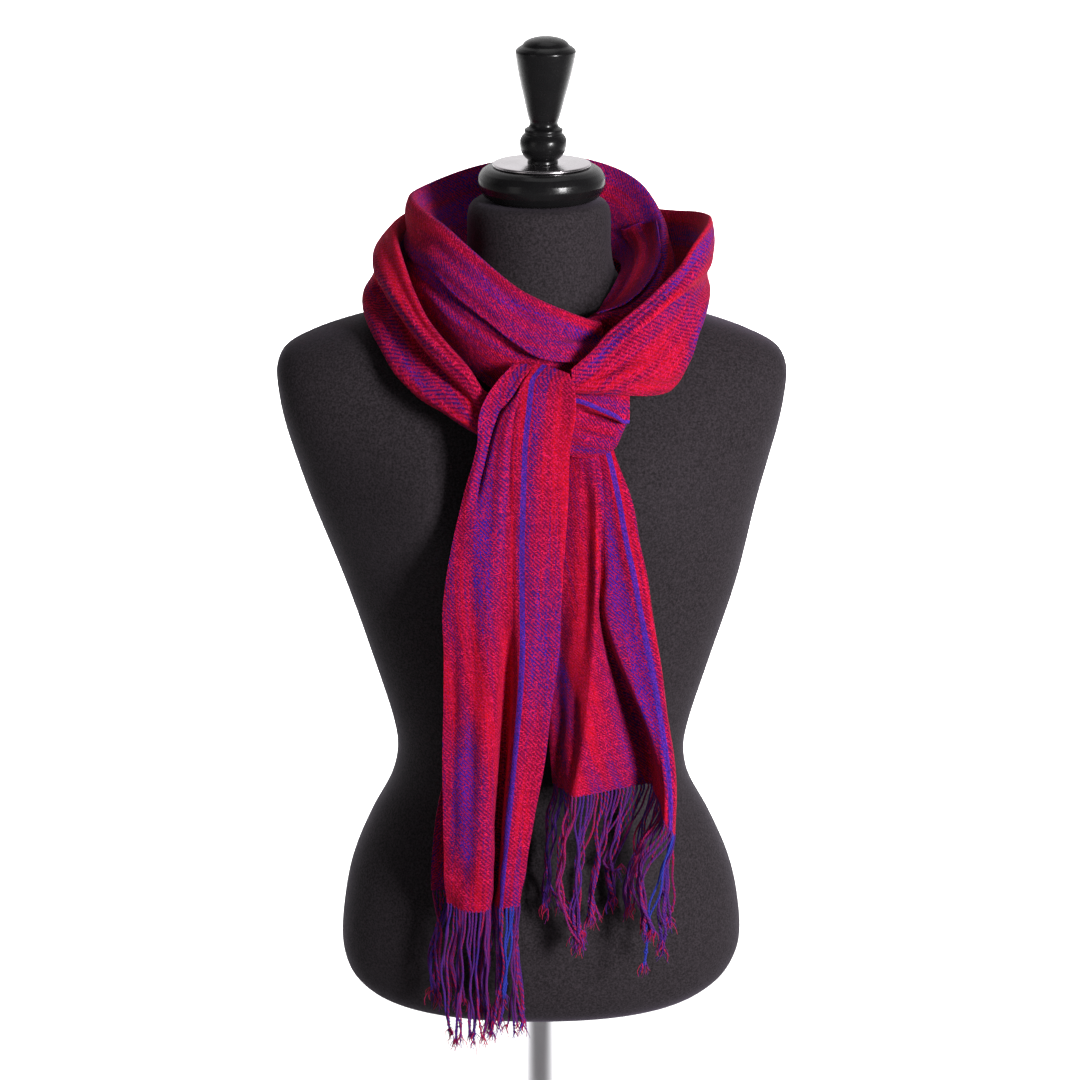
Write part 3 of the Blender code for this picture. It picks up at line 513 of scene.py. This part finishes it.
def tail_points(rows, softness, hem_drop, top_drop=(0,) * 8):
    """A hanging end."""
    falling = [(-row[0], *row[1:]) for row in rows]
    top, hem = falling[0][0], falling[-1][0]

    def corners(station, row):
        near_top = max(0, 1 - (station - top) / TOP_REACH)
        near_hem = max(0, 1 - (hem - station) / HEM_REACH) ** 2
        heights = [-station - high * near_top - low * near_hem for high, low in zip(top_drop, hem_drop)]
        return np.column_stack([row[:, 0], -row[:, 1], heights])

    return swept(falling, TAIL_SPACING, softness, NARROW_STEPS, corners)


def loop_points(rows):
    """The loop under the knot, from the viewer's right to left so that its normal faces out."""

    def corners(x, row):
        return np.column_stack([np.full(len(row), x), -row[:, 0], row[:, 1]])

    found = swept(rows, LOOP_SPACING, LOOP_SOFTNESS, NARROW_STEPS, corners)
    return [values[::-1] for values in found]


def sheet_normals(points):
    return unit(np.cross(np.gradient(points, axis=0), np.gradient(points, axis=1)))


def crease_height(creases, stations, places, across):
    """How far the creases lift or sink each point."""
    lift = np.zeros_like(places)
    spots = across_at(places, across)
    for start, start_place, end, end_place, half_width, height in creases:
        t = (stations[:, None] - start) / (end - start)
        middle = across_at(start_place + (end_place - start_place) * t, across)
        fade = smooth_step(0, CREASE_FADE, t) * smooth_step(0, CREASE_FADE, 1 - t)
        lift += height * fade * np.exp(-(((spots - middle) / half_width) ** 2))
    return lift


def ripple(across, along, seed, reach, waves=7):
    """A sum of long waves over the cloth, from -1 to 1 or so."""
    draw = random.Random(seed)
    total = np.zeros(np.broadcast(across, along).shape)
    for _ in range(waves):
        wide, long = draw.uniform(0.5, 1.4) * reach, draw.uniform(1.5, 4) * reach
        lean, phase = draw.choice((-1, 1)), draw.uniform(0, 9)
        total += np.sin(across * math.tau / wide + along * math.tau / long * lean + phase)
    return total / waves


def dye_and_light_depth(patches, stations, places, across, station_mm):
    """How much purple the warp is dyed beyond the rest at each point, and how much crimson where below 0. A
    few patches are painted light: scarlet that brightens cloth lying in shade.
    """
    spots = across_at(places, across)
    depth = np.zeros_like(places)
    for station, place, along_reach, across_reach, strength in patches:
        aside = (spots - across_at(place, across)) / across_reach
        along = (stations[:, None] - station) * station_mm / along_reach
        depth += strength * np.exp(-(aside**2) - along**2)
    return depth


def link(name, data):
    made = bpy.data.objects.new(name, data)
    bpy.context.scene.collection.objects.link(made)
    return made


def link_mesh(name, points, faces, material, cloth=None):
    """A named, smooth object from points in millimetres, with its weave coordinates."""
    mesh = bpy.data.meshes.new(name)
    mesh.from_pydata((points * MM).tolist(), [], faces)
    mesh.validate()
    mesh.materials.append(material)
    if cloth is not None:
        layer = mesh.attributes.new("cloth", "FLOAT_VECTOR", "POINT")
        layer.data.foreach_set("vector", np.asarray(cloth, np.float32).ravel())
    mesh.shade_smooth()
    mesh.set_sharp_from_angle(angle=math.radians(SHARP_ANGLE))
    return link(name, mesh)


def ring_faces(count, sides, start=0):
    """The faces of a tube of rings, both ends closed."""
    index = start + np.arange(count * sides).reshape(count, sides)
    beside = np.roll(index, -1, axis=1)
    quads = np.stack([index[:-1], beside[:-1], beside[1:], index[1:]], axis=-1).reshape(-1, 4)
    return [*quads.tolist(), index[0][::-1].tolist(), index[-1].tolist()]


def sheet_piece(name, points, threads, along, dye_and_light, material):
    """A thin shell of cloth round the middle surface."""
    cloth = np.stack([threads * MM, along * MM, dye_and_light], axis=-1).reshape(-1, 3)
    rows, columns = points.shape[:2]
    normals = sheet_normals(points) * (CLOTH_WALL / 2)
    both = np.concatenate([(points + normals).reshape(-1, 3), (points - normals).reshape(-1, 3)])
    index = np.arange(rows * columns).reshape(rows, columns)
    corners = [index[:-1, :-1], index[1:, :-1], index[1:, 1:], index[:-1, 1:]]
    quads = np.stack(corners, axis=-1).reshape(-1, 4)
    edge = np.concatenate([index[0, :], index[1:, -1], index[-1, -2::-1], index[-2:0:-1, 0]])
    ring = np.roll(edge, -1)
    other = rows * columns
    sides = np.stack([ring, edge, edge + other, ring + other], axis=-1)
    faces = np.concatenate([quads, quads[:, ::-1] + other, sides]).tolist()
    return link_mesh(name, both, faces, material, np.concatenate([cloth, cloth]))


def thread_places(points, places, anchor, across):
    """How far each point lies across the cloth, in millimetres, measured along the cloth from one column."""
    steps = np.linalg.norm(np.diff(points, axis=1), axis=-1)
    run = np.concatenate([np.zeros((len(points), 1)), np.cumsum(steps, axis=1)], axis=1)
    middle = np.array([np.interp(anchor, place, line) for place, line in zip(places, run)])
    return run - middle[:, None] + across[anchor]


def dressed_sheet(name, surface, across, anchor, creases, dye_and_light, seed, material,
                  station_mm=1, hem=0, wave=0.55, mirrored=False):
    """A sheet with its creases, ripples and weave coordinates, and its surface's points."""
    points, stations, places = surface
    spots = across_at(places, across)
    steps = 180 - np.abs(stations - 180) if mirrored else stations
    along = (steps * station_mm)[:, None] + np.zeros_like(spots)
    lift = crease_height(creases, stations, places, across)
    lift += wave * ripple(spots, along, seed, RIPPLE_REACH)
    if hem:
        near = np.clip(1 - (along[-1:] - along) / HEM_WAVE_REACH, 0, 1) ** 1.5
        lift += hem * near * ripple(spots, along, seed + 1, HEM_RIPPLE_REACH, HEM_RIPPLE_WAVES)
    threads = thread_places(points, places, anchor, across)
    points = points + sheet_normals(points) * lift[..., None]
    # The warp's dye, with a few patches of painted light that brighten cloth lying in shade
    depth = dye_and_light_depth(dye_and_light, stations, places, across, station_mm)
    return sheet_piece(name, points, threads, along, depth, material), points


def layer_piece(name, surface, points, across, material):
    """A second layer inside the inner turn at the viewer's right, its edge rising to below the rim."""
    _, stations, places = surface
    share = np.linspace(0, 1, LAYER_COLUMNS)
    start, end = LAYER_AZIMUTHS
    low, high = LAYER_PLACES
    path, spots = [], []
    for row in np.flatnonzero((stations >= start) & (stations <= end)):
        rise = smooth_step(start, start + LAYER_RISE, stations[row])
        place = low + (high - low) * (0.1 + 0.9 * rise) * share
        path.append(np.column_stack([np.interp(place, places[row], line) for line in points[row].T]))
        spots.append(across_at(place, across))
    path, spots = np.array(path), np.array(spots)
    off = LAYER_NEAR + (LAYER_FAR - LAYER_NEAR) * share**2
    path += sheet_normals(path) * off[:, None]
    along = np.arange(len(path))[:, None] * LAYER_STEP + np.zeros_like(spots)
    dye_and_light = np.where(share > LAYER_EDGE, LAYER_EDGE_DYE, 0) + np.zeros_like(spots)
    return sheet_piece(name, path, spots, along, dye_and_light, material)


def square_to(path, guide):
    """The two directions square to a path at each of its points."""
    ahead = unit(np.gradient(path, axis=0))
    side = unit(np.cross(ahead, guide))
    return side, np.cross(side, ahead)


class Tubes:
    """Gathers many thin tubes into one mesh."""

    def __init__(self):
        self.points, self.faces, self.cloth = [], [], []

    def add(self, path, radii, sides, cloth):
        """A closed tube along a path, with a radius and a weave coordinate at each of its points."""
        side, up = square_to(path, TUBE_GUIDE)
        turn = (np.arange(sides) * math.tau / sides)[None, :, None]
        ring = side[:, None] * np.cos(turn) + up[:, None] * np.sin(turn)
        start = sum(len(p) for p in self.points)
        self.points.append((path[:, None] + ring * radii[:, None, None]).reshape(-1, 3))
        self.cloth.append(np.repeat(cloth, sides, axis=0))
        self.faces += ring_faces(len(path), sides, start)

    def piece(self, name, material):
        points, cloth = np.concatenate(self.points), np.concatenate(self.cloth)
        return link_mesh(name, points, self.faces, material, cloth)


def twisted(path, run, ply, twist_start, spread):
    """A ply's own path round the strand's."""
    side, up = square_to(path, TWIST_GUIDE)
    angle = ((run / TWIST + ply / 2) * math.tau + twist_start)[:, None]
    return path + (side * np.cos(angle) + up * np.sin(angle)) * spread[:, None]


def strand_path(root, waist, tip, wave, draw):
    """A strand's way down: over the hem, through its bunch's waist and on to its tip, with small waves."""
    marks = np.array([root, root + (0, -0.4, -5), waist, tip])
    run = run_along(marks)
    at = np.linspace(0, run[-1], STRAND_STEPS)
    path = smooth_run(run, marks, at)
    free = smooth_step(4, 30, at)
    for axis, share in ((0, 1), (1, 0.7)):
        for length in STRAND_WAVES:
            swing = np.sin(at / length * draw.uniform(0.8, 1.2) + draw.uniform(0, 9))
            path[:, axis] += share * wave * free * swing / len(STRAND_WAVES)
    return path, at


def add_frays(tubes, end, number, draw):
    """The loose fibres below a strand's knot."""
    t = np.linspace(0, 1, FRAY_POINTS)[:, None]
    for _ in range(FRAYS):
        reach, tint = draw.uniform(6, 13), draw.uniform(-0.5, 1.1)
        out = np.array([draw.uniform(-0.5, 0.5), draw.uniform(-0.4, 0.4), -1])
        curl = np.array([draw.uniform(-2.5, 2.5), draw.uniform(-2, 2), 0])
        fibre = end + np.array([0, 0, 4]) + out * reach * t + curl * np.sin(t * math.pi)
        cloth = np.tile([tint, 0.1, number], (FRAY_POINTS, 1))
        tubes.add(fibre, np.linspace(*FRAY_RADII, FRAY_POINTS), FRAY_SIDES, cloth)


def fringe_piece(name, hem, bunches, seed, material, blue, wave):
    """Two-ply strands along a hem, drawn into bunches, each knotted near its end and frayed below it."""
    draw = random.Random(seed)
    run = run_along(hem)
    ends = [bunch[0] for bunch in bunches]
    tubes = Tubes()
    for number in range(STRANDS):
        share = (number + 0.5 + draw.uniform(-0.15, 0.15)) / STRANDS
        root = np.array([np.interp(share * run[-1], run, hem[:, k]) for k in range(3)]) + (0, 0, 1)
        bunch = np.searchsorted(ends, share)
        first = ends[bunch - 1] if bunch else 0
        last, waist_x, waist_z, waist_wide, tip_x, tip_z, tip_wide = bunches[bunch]
        rank = 2 * (share - first) / (last - first) - 1
        waist = (waist_x + (0.6 * rank + draw.uniform(-0.6, 0.6)) * waist_wide,
                 root[1] + draw.uniform(-2, 2), waist_z + draw.uniform(-7, 7))
        tip = (tip_x + draw.uniform(-1, 1) * tip_wide,
               root[1] + draw.uniform(-3, 3), tip_z + draw.uniform(-5, 5))
        path, at = strand_path(root, waist, tip, wave, draw)
        length = at[-1]
        knot = length - draw.uniform(9, 15)
        near_knot = np.exp(-(((at - knot) / KNOT_LENGTH) ** 2))
        spread = PLY_OFFSET * (1 + 0.9 * near_knot)
        swell = PLY_RADIUS * (1 + 0.5 * near_knot) * (1 - 0.4 * smooth_step(length - 4, length, at))
        start, hue = draw.uniform(0, math.tau), draw.random()
        is_blue = blue[0] <= share <= blue[1]
        for ply in range(2):
            tint = BLUE_TINT if is_blue else (hue + draw.uniform(-0.3, 0.3)) % 1
            cloth = np.stack([np.full(len(at), tint), at * MM, np.full(len(at), number + ply / 2)], axis=1)
            tubes.add(twisted(path, at, ply, start, spread), swell, STRAND_SIDES, cloth)
        add_frays(tubes, path[-1], number, draw)
    return tubes.piece(name, material)


def lofted_piece(name, rings, material):
    """Rings of points joined from bottom to top, both ends closed."""
    rings = np.asarray(rings)
    return link_mesh(name, rings.reshape(-1, 3), ring_faces(*rings.shape[:2]), material)


def place_piece(piece, slot, *nodes):
    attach(piece, "root")
    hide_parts(*nodes)


def turned_piece(name, outline, foot, material, slot, node, steps=96, aside=0, lean=0):
    """A turned piece, its corners rounded, with its foot aside of the stand's axis and leaning a little."""
    outline = np.array(outline, float)
    line, _ = folded_line(outline[:, :2], outline[:, 2].tolist(), TURNED_STEPS)
    turn = np.arange(steps) * math.tau / steps
    rings = []
    for radius, height in line:
        x = aside + lean * height + radius * np.sin(turn)
        rings.append(np.stack([x, -radius * np.cos(turn), np.full(steps, foot + height)], axis=1))
    place_piece(lofted_piece(name, rings, material), slot, node)


def form_rings():
    """The padded form's rings of points, closer together where its outline turns."""
    table = np.array(FORM, float)
    run = run_along(table[:, :2])
    rows = smooth_run(run, table, np.linspace(0, run[-1], FORM_ROWS))
    turn = np.arange(FORM_TURNS) * math.tau / FORM_TURNS
    sine, cosine = np.sin(turn), np.cos(turn)
    rings = []
    for height, half_width, front, back, squareness, aside in rows:
        x = half_width * np.sign(sine) * np.abs(sine) ** (2 / squareness)
        depth = np.where(cosine < 0, back, front)
        y = -depth * np.sign(cosine) * np.abs(cosine) ** (2 / squareness)
        away = ((np.abs(x) - BUST_X) ** 2 + (height - BUST_HEIGHT) ** 2) / BUST_SPREAD**2
        y -= BUST_RISE * np.maximum(cosine, 0) * np.exp(-away)
        rings.append(np.stack([x + aside, y, np.full(FORM_TURNS, height)], axis=1))
    return rings


class Shade:
    """Builds the nodes of a material or of the world."""

    def __init__(self, name, world=False):
        self.owner = bpy.data.worlds.new(name) if world else bpy.data.materials.new(name)
        self.owner.use_nodes = True
        self.tree = self.owner.node_tree
        self.shader = self.tree.nodes["Background" if world else "Principled BSDF"]

    def put(self, socket, value):
        if isinstance(value, bpy.types.NodeSocket):
            self.tree.links.new(value, socket)
        elif socket.type == "RGBA":
            socket.default_value = (*value, 1)
        else:
            socket.default_value = value

    def node(self, kind, *values, **settings):
        """A new node with its settings, its inputs filled in their order."""
        made = self.tree.nodes.new("ShaderNode" + kind)
        for name, value in settings.items():
            setattr(made, name, value)
        for socket, value in zip(made.inputs, values):
            self.put(socket, value)
        return made

    def math(self, operation, *values):
        return self.node("Math", *values, operation=operation).outputs[0]

    def add(self, first, second):
        return self.math("ADD", first, second)

    def minus(self, first, second):
        return self.math("SUBTRACT", first, second)

    def times(self, first, second):
        return self.math("MULTIPLY", first, second)

    def near(self, value, middle, reach):
        """1 where a value is within reach of a middle, and 0 elsewhere."""
        return self.math("LESS_THAN", self.math("ABSOLUTE", self.minus(value, middle)), reach)

    def vector(self, x, y, z=0):
        return self.node("CombineXYZ", x, y, z).outputs[0]

    def split(self, vector):
        return self.node("SeparateXYZ", vector).outputs

    def cloth(self):
        return self.split(self.node("Attribute", attribute_name="cloth").outputs["Vector"])

    def place(self):
        return self.node("TexCoord").outputs["Object"]

    def noise(self, vector, scale, detail=2, roughness=0.5):
        return self.node("TexNoise", vector, 0, scale, detail, roughness).outputs["Fac"]

    def chance(self, vector):
        return self.node("TexWhiteNoise", vector).outputs["Value"]

    def ramp(self, factor, stops):
        made = self.node("ValToRGB", factor)
        elements = made.color_ramp.elements
        while len(elements) < len(stops):
            elements.new(0.5)
        for element, (place, colour) in zip(elements, stops):
            element.position = place
            element.color = (*colour, 1)
        return made.outputs[0]

    def mix(self, factor, first, second, blend="MIX"):
        made = self.node("Mix", factor, data_type="RGBA", blend_type=blend)
        self.put(made.inputs[6], first)
        self.put(made.inputs[7], second)
        return made.outputs[2]

    def darkened(self, colour, share):
        return self.mix(1, colour, self.vector(share, share, share), "MULTIPLY")

    def spread(self, value, low, high, start=0, end=1):
        """A value from low to high mapped to start to end, and held beyond them."""
        return self.node("MapRange", value, low, high, start, end).outputs[0]

    def bump(self, height, strength, distance):
        made = self.node("Bump", strength, distance)
        self.put(made.inputs["Height"], height)
        self.put(self.shader.inputs["Normal"], made.outputs[0])

    def finish(self, **sockets):
        for name, value in sockets.items():
            self.put(self.shader.inputs[name.replace("_", " ")], value)
        return self.owner


def woven(name, seed, lean, purple=0.3, stripe=None):
    """Twill: a crimson weft over a warp dyed in long feathered patches, and a narrow blue stripe if asked."""
    s = Shade(name)
    across, along, dye_and_light = s.cloth()
    drift = s.times(s.minus(s.noise(s.vector(across, along, seed), DRIFT_SCALE, 3), 0.5), THREAD_DRIFT)
    a = s.add(s.math("DIVIDE", across, THREAD * MM), drift)
    b = s.add(s.math("DIVIDE", along, THREAD * MM), drift)
    thread, pick = s.math("FLOOR", a), s.math("FLOOR", b)
    step = s.add(s.times(thread, lean), pick)
    over = s.math("LESS_THAN", s.math("FRACT", s.times(step, 0.25)), 0.5)
    thread_chance = s.chance(s.vector(thread, seed, 1))
    pick_chance = s.chance(s.vector(pick, seed, 2))
    crossing = s.chance(s.vector(thread, pick, seed))
    over = s.math("ABSOLUTE", s.minus(over, s.math("GREATER_THAN", crossing, EVEN_CROSSINGS)))
    feather = s.add(s.times(along, PATCH_SCALE[1]), s.times(thread_chance, 0.26))
    patch = s.noise(s.vector(s.times(across, PATCH_SCALE[0]), feather, seed), 1, 3, 0.6)
    streaked = s.vector(s.times(across, STREAK_SCALE[0]), s.times(along, STREAK_SCALE[1]), seed)
    streak = s.noise(streaked, 1, 2)
    # The cloth's third channel is the laid dye, with a few patches of painted light that push shaded cloth
    # towards scarlet
    depth = s.add(s.times(s.minus(patch, 0.5), 2.8), s.times(dye_and_light, 0.75))
    depth = s.add(depth, s.times(s.minus(streak, 0.5), 0.9))
    depth = s.add(s.add(depth, s.times(thread_chance, 0.24)), purple)
    warp = s.ramp(depth, WARP_STOPS)
    weft = s.mix(s.spread(depth, 0.4, 0.95, 0, 0.6), s.mix(pick_chance, *WEFT), PURPLE_WEFT)
    if stripe:
        middle, half_width = stripe
        inside = s.near(across, middle * MM, half_width * MM)
        warp = s.mix(inside, warp, s.mix(thread_chance, *STRIPE))
        over = s.math("MAXIMUM", over, s.times(inside, 0.8))
    round_warp, round_weft = (s.math("SINE", s.times(s.math("FRACT", run), math.pi)) for run in (a, b))
    height = s.add(s.times(over, round_warp), s.times(s.minus(1, over), round_weft))
    # Painted shade: each thread darkens towards its edges, where it dips under its neighbours, and each
    # crossing also takes its own random tone
    thread_shade_and_tone = s.times(s.spread(height, 0, 0.8, 0.35, 1.2), s.spread(crossing, 0, 1, 0.62, 1.32))
    s.bump(s.add(height, s.times(over, 0.35)), 0.6, 0.0004)
    return s.finish(Base_Color=s.darkened(s.mix(over, weft, warp), thread_shade_and_tone), Roughness=0.9,
                    Specular_IOR_Level=0.06, Sheen_Weight=0.05, Sheen_Roughness=0.4,
                    Sheen_Tint=(1, 0.3, 0.6))


def twisted_yarn(name):
    """Plied yarn in the warp's dyes, each ply a little different along its length."""
    s = Shade(name)
    hue, along, number = s.cloth()
    patch = s.noise(s.vector(s.times(along, 40), number, hue), 1, 2)
    depth = s.add(s.times(s.minus(patch, 0.5), 0.8), s.times(hue, 0.8))
    colour = s.ramp(s.add(depth, 0.06), YARN_STOPS)
    colour = s.mix(s.math("GREATER_THAN", hue, BLUE_TINT - 0.5), colour, BLUE_YARN)
    fibres = s.noise(s.place(), 1600, 2)
    s.bump(fibres, 0.4, 0.0003)
    return s.finish(Base_Color=s.darkened(colour, s.spread(fibres, 0.3, 0.7, 0.6, 1.25)), Roughness=0.85,
                    Specular_IOR_Level=0.2, Sheen_Weight=0.15, Sheen_Roughness=0.4,
                    Sheen_Tint=(0.9, 0.5, 0.9))


def jersey(name):
    """Fine charcoal jersey with a slight nap, and the cover's seam over the shoulders and down the sides."""
    s = Shade(name)
    x, y, z = s.split(s.place())
    mottle = s.noise(s.place(), 620, 3, 0.7)
    broad = s.noise(s.place(), 14, 2)
    colour = s.mix(s.spread(mottle, 0.36, 0.64), (0.005, 0.0037, 0.0043), (0.033, 0.026, 0.031))
    colour = s.mix(s.times(broad, 0.25), colour, (0.024, 0.019, 0.024))
    seam = s.near(y, COVER_SEAM * MM, COVER_SEAM_HALF * MM)
    colour = s.mix(s.times(seam, 0.7), colour, (0.006, 0.005, 0.006))
    wale = s.math("SINE", s.times(x, math.tau / (WALE * MM)))
    course = s.math("SINE", s.times(z, math.tau / (COURSE * MM)))
    height = s.add(s.times(s.times(wale, course), 0.3), mottle)
    s.bump(s.minus(height, seam), 0.35, 0.0004)
    return s.finish(Base_Color=colour, Roughness=0.92, Specular_IOR_Level=0.2, Sheen_Weight=0.1,
                    Sheen_Roughness=0.35, Sheen_Tint=(0.85, 0.68, 1))


def lacquer(name):
    """Gloss black lacquer over turned wood, with faint orange peel."""
    s = Shade(name)
    grain = s.noise(s.place(), 90, 3)
    fine = s.noise(s.place(), 500, 2)
    colour = s.mix(grain, (0.004, 0.004, 0.0045), (0.009, 0.0085, 0.009))
    s.bump(s.add(grain, s.times(fine, 0.3)), 0.06, 0.0006)
    return s.finish(Base_Color=colour, Roughness=s.spread(fine, 0.3, 0.7, 0.2, 0.3),
                    Specular_IOR_Level=0.2, Coat_Weight=0.06, Coat_Roughness=0.1)


def metal(name, colour, roughness, brushed=0, aside=0):
    """Polished or satin metal with fine turning marks and smudges."""
    s = Shade(name)
    x, y, z = s.split(s.place())
    x = s.minus(x, aside * MM)
    radius = s.math("SQRT", s.add(s.times(x, x), s.times(y, y)))
    rings = s.noise(s.vector(s.times(radius, 2500), s.times(z, 2500)), 1, 2)
    smudge = s.noise(s.place(), 30, 3)
    tone = s.mix(s.spread(smudge, 0.35, 0.75, 0, 0.35), colour, tuple(c * 0.82 for c in colour))
    rough = s.add(s.spread(smudge, 0.3, 0.7, roughness * 0.8, roughness * 1.3),
                  s.times(rings, brushed * 0.1))
    s.bump(rings, 0.02 + 0.1 * brushed, 0.0001)
    return s.finish(Base_Color=tone, Metallic=1, Roughness=rough)


def build_scarf():
    """The wound cloth, its two hanging ends and their fringes."""
    turn = wrap_points(INNER_WRAP)
    twill = woven("woven_inner", 3, 1)
    inner, inner_points = dressed_sheet(
        "scarf_inner_turn", turn, INNER_ACROSS, 1, INNER_CREASES, INNER_DYE_AND_LIGHT, 11, twill, INNER_DEGREE)
    ply = layer_piece("scarf_inner_ply", turn, inner_points, INNER_ACROSS, twill)
    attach(ply, "root")
    outer, _ = dressed_sheet(
        "scarf_outer_turn", wrap_points(OUTER_WRAP), OUTER_ACROSS, 1, OUTER_CREASES, OUTER_DYE_AND_LIGHT, 12,
        woven("woven_outer", 7, -1, 0.12), OUTER_DEGREE, mirrored=True)
    lobe, _ = dressed_sheet(
        "scarf_knot_loop", loop_points(LOOP), LOOP_ACROSS, 2, LOOP_CREASES, LOOP_DYE, 13,
        woven("woven_knot", 5, -1, stripe=LOOP_STRIPE), wave=0.4)
    front, front_points = dressed_sheet(
        "scarf_front_end", tail_points(FRONT_TAIL, FRONT_SOFTNESS, FRONT_HEM_DROP, FRONT_TOP_DROP),
        FRONT_ACROSS, 4, FRONT_CREASES, FRONT_DYE, 14,
        woven("woven_front", 1, -1, stripe=FRONT_STRIPE), hem=HEM_WAVE)
    side, side_points = dressed_sheet(
        "scarf_side_end", tail_points(SIDE_TAIL, SIDE_SOFTNESS, SIDE_HEM_DROP),
        SIDE_ACROSS, 5, SIDE_CREASES, SIDE_DYE_AND_LIGHT, 15,
        woven("woven_side", 9, -1, stripe=SIDE_STRIPE), hem=HEM_WAVE)
    yarn = twisted_yarn("twisted_yarn")
    front_fringe = fringe_piece(
        "fringe_front_strands", front_points[-1], FRONT_BUNCHES, 21, yarn, FRONT_BLUE, 2.4)
    side_fringe = fringe_piece(
        "fringe_side_strands", side_points[-1], SIDE_BUNCHES, 22, yarn, SIDE_BLUE, 4)
    for piece, node in ((inner, "wrap_inner"), (outer, "wrap_outer"), (lobe, "knot_lobe"),
                        (front, "tail_front"), (side, "tail_side")):
        place_piece(piece, "woven_cloth", node)
    place_piece(front_fringe, "fringe_yarn", "fringe_front")
    place_piece(side_fringe, "fringe_yarn", "fringe_side")


def build_form():
    """The padded form under its jersey cover, the neck's cap and the finial."""
    cover = lofted_piece("form_jersey_cover", form_rings(), jersey("charcoal_jersey"))
    place_piece(cover, "form_jersey", "form_torso")
    black = lacquer("black_lacquer")
    cap_foot = NECK_TOP + SEAM_GAP
    plate_foot = cap_foot + CAP[-1][1] + SEAM_GAP
    finial_foot = plate_foot + PLATE[-1][1] + SEAM_GAP
    turned_piece("turned_neck_cap", CAP, cap_foot, black, "black_gloss", "neck_cap", 128, CAP_ASIDE)
    satin = metal("satin_plate", SATIN, 0.16, 1, CAP_ASIDE)
    turned_piece("turned_plate", PLATE, plate_foot, satin, "plate_metal", "cap_plate", 128, CAP_ASIDE)
    turned_piece("turned_finial", FINIAL, finial_foot, black, "black_gloss", "finial",
                 aside=FINIAL_ASIDE, lean=FINIAL_LEAN)


def build_stand():
    """The round base, the pole and the flange under the form."""
    chrome = metal("polished_chrome", CHROME, 0.12)
    turned_piece("turned_base", BASE, 0, chrome, "stand_metal", "stand_base", 160)
    pole_foot = BASE_HEIGHT + SEAM_GAP
    flange_foot = FORM_BOTTOM - SEAM_GAP - FLANGE_HEIGHT
    pole_top = flange_foot - SEAM_GAP - pole_foot
    pole = ((POLE_RADIUS, 0, 0), (POLE_RADIUS, 60, 1), (POLE_RADIUS, pole_top, 0))
    turned_piece("turned_pole", pole, pole_foot, chrome, "stand_metal", "stand_pole")
    turned_piece("turned_flange", FLANGE, flange_foot, chrome, "stand_metal", "stand_flange")


def build_sky():
    """A world that is bright behind the object and dim before it."""
    sky = Shade("studio", world=True)
    behind = sky.split(sky.node("TexCoord").outputs["Generated"])["Y"]
    strength = sky.spread(behind, 0.1, 0.9, 0.06, 1.1)
    bpy.context.scene.world = sky.finish(Strength=strength, Color=(1, 0.99, 1))


def build_floor():
    """A plain pale floor."""
    floor = Shade("pale_floor")
    speckle = floor.noise(floor.place(), 3, 2)
    pale = floor.mix(speckle, (0.93, 0.93, 0.93), (0.96, 0.96, 0.96))
    mesh = bpy.data.meshes.new("floor")
    corners = [(x * FLOOR_REACH, y * FLOOR_REACH, 0) for x, y in ((-1, -1), (1, -1), (1, 1), (-1, 1))]
    mesh.from_pydata(corners, [], [(0, 1, 2, 3)])
    mesh.materials.append(floor.finish(Base_Color=pale, Roughness=0.9))
    ground = link("floor", mesh)
    ground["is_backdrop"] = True


def build_lights():
    """Soft lights, some of which light the object alone."""
    shown = bpy.data.collections.new("lit_pieces")
    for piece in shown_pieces():
        shown.objects.link(piece)
    for name, place, aim, size, power, colour, for_object in LIGHTS:
        light = bpy.data.lights.new(name, "AREA")
        light.shape = "RECTANGLE"
        light.size, light.size_y = size
        light.energy = power
        light.color = colour
        lamp = link(name, light)
        lamp.location = place
        lamp.rotation_euler = (Vector(aim) - Vector(place)).to_track_quat("-Z", "Y").to_euler()
        if for_object:
            lamp.light_linking.receiver_collection = shown


def build_camera():
    """The camera at the photograph's angle."""
    lens = bpy.data.cameras.new("camera")
    lens.lens = CAMERA_LENS
    camera = link("camera", lens)
    lift = math.radians(CAMERA_ELEVATION)
    camera.location = (0, -CAMERA_DISTANCE * math.cos(lift), CAMERA_TARGET + CAMERA_DISTANCE * math.sin(lift))
    camera.rotation_euler = (math.pi / 2 - lift, 0, 0)
    bpy.context.scene.camera = camera


bpy.context.scene.view_settings.view_transform = "Standard"
build_form()
build_stand()
build_scarf()
build_sky()
build_floor()
build_lights()
build_camera()
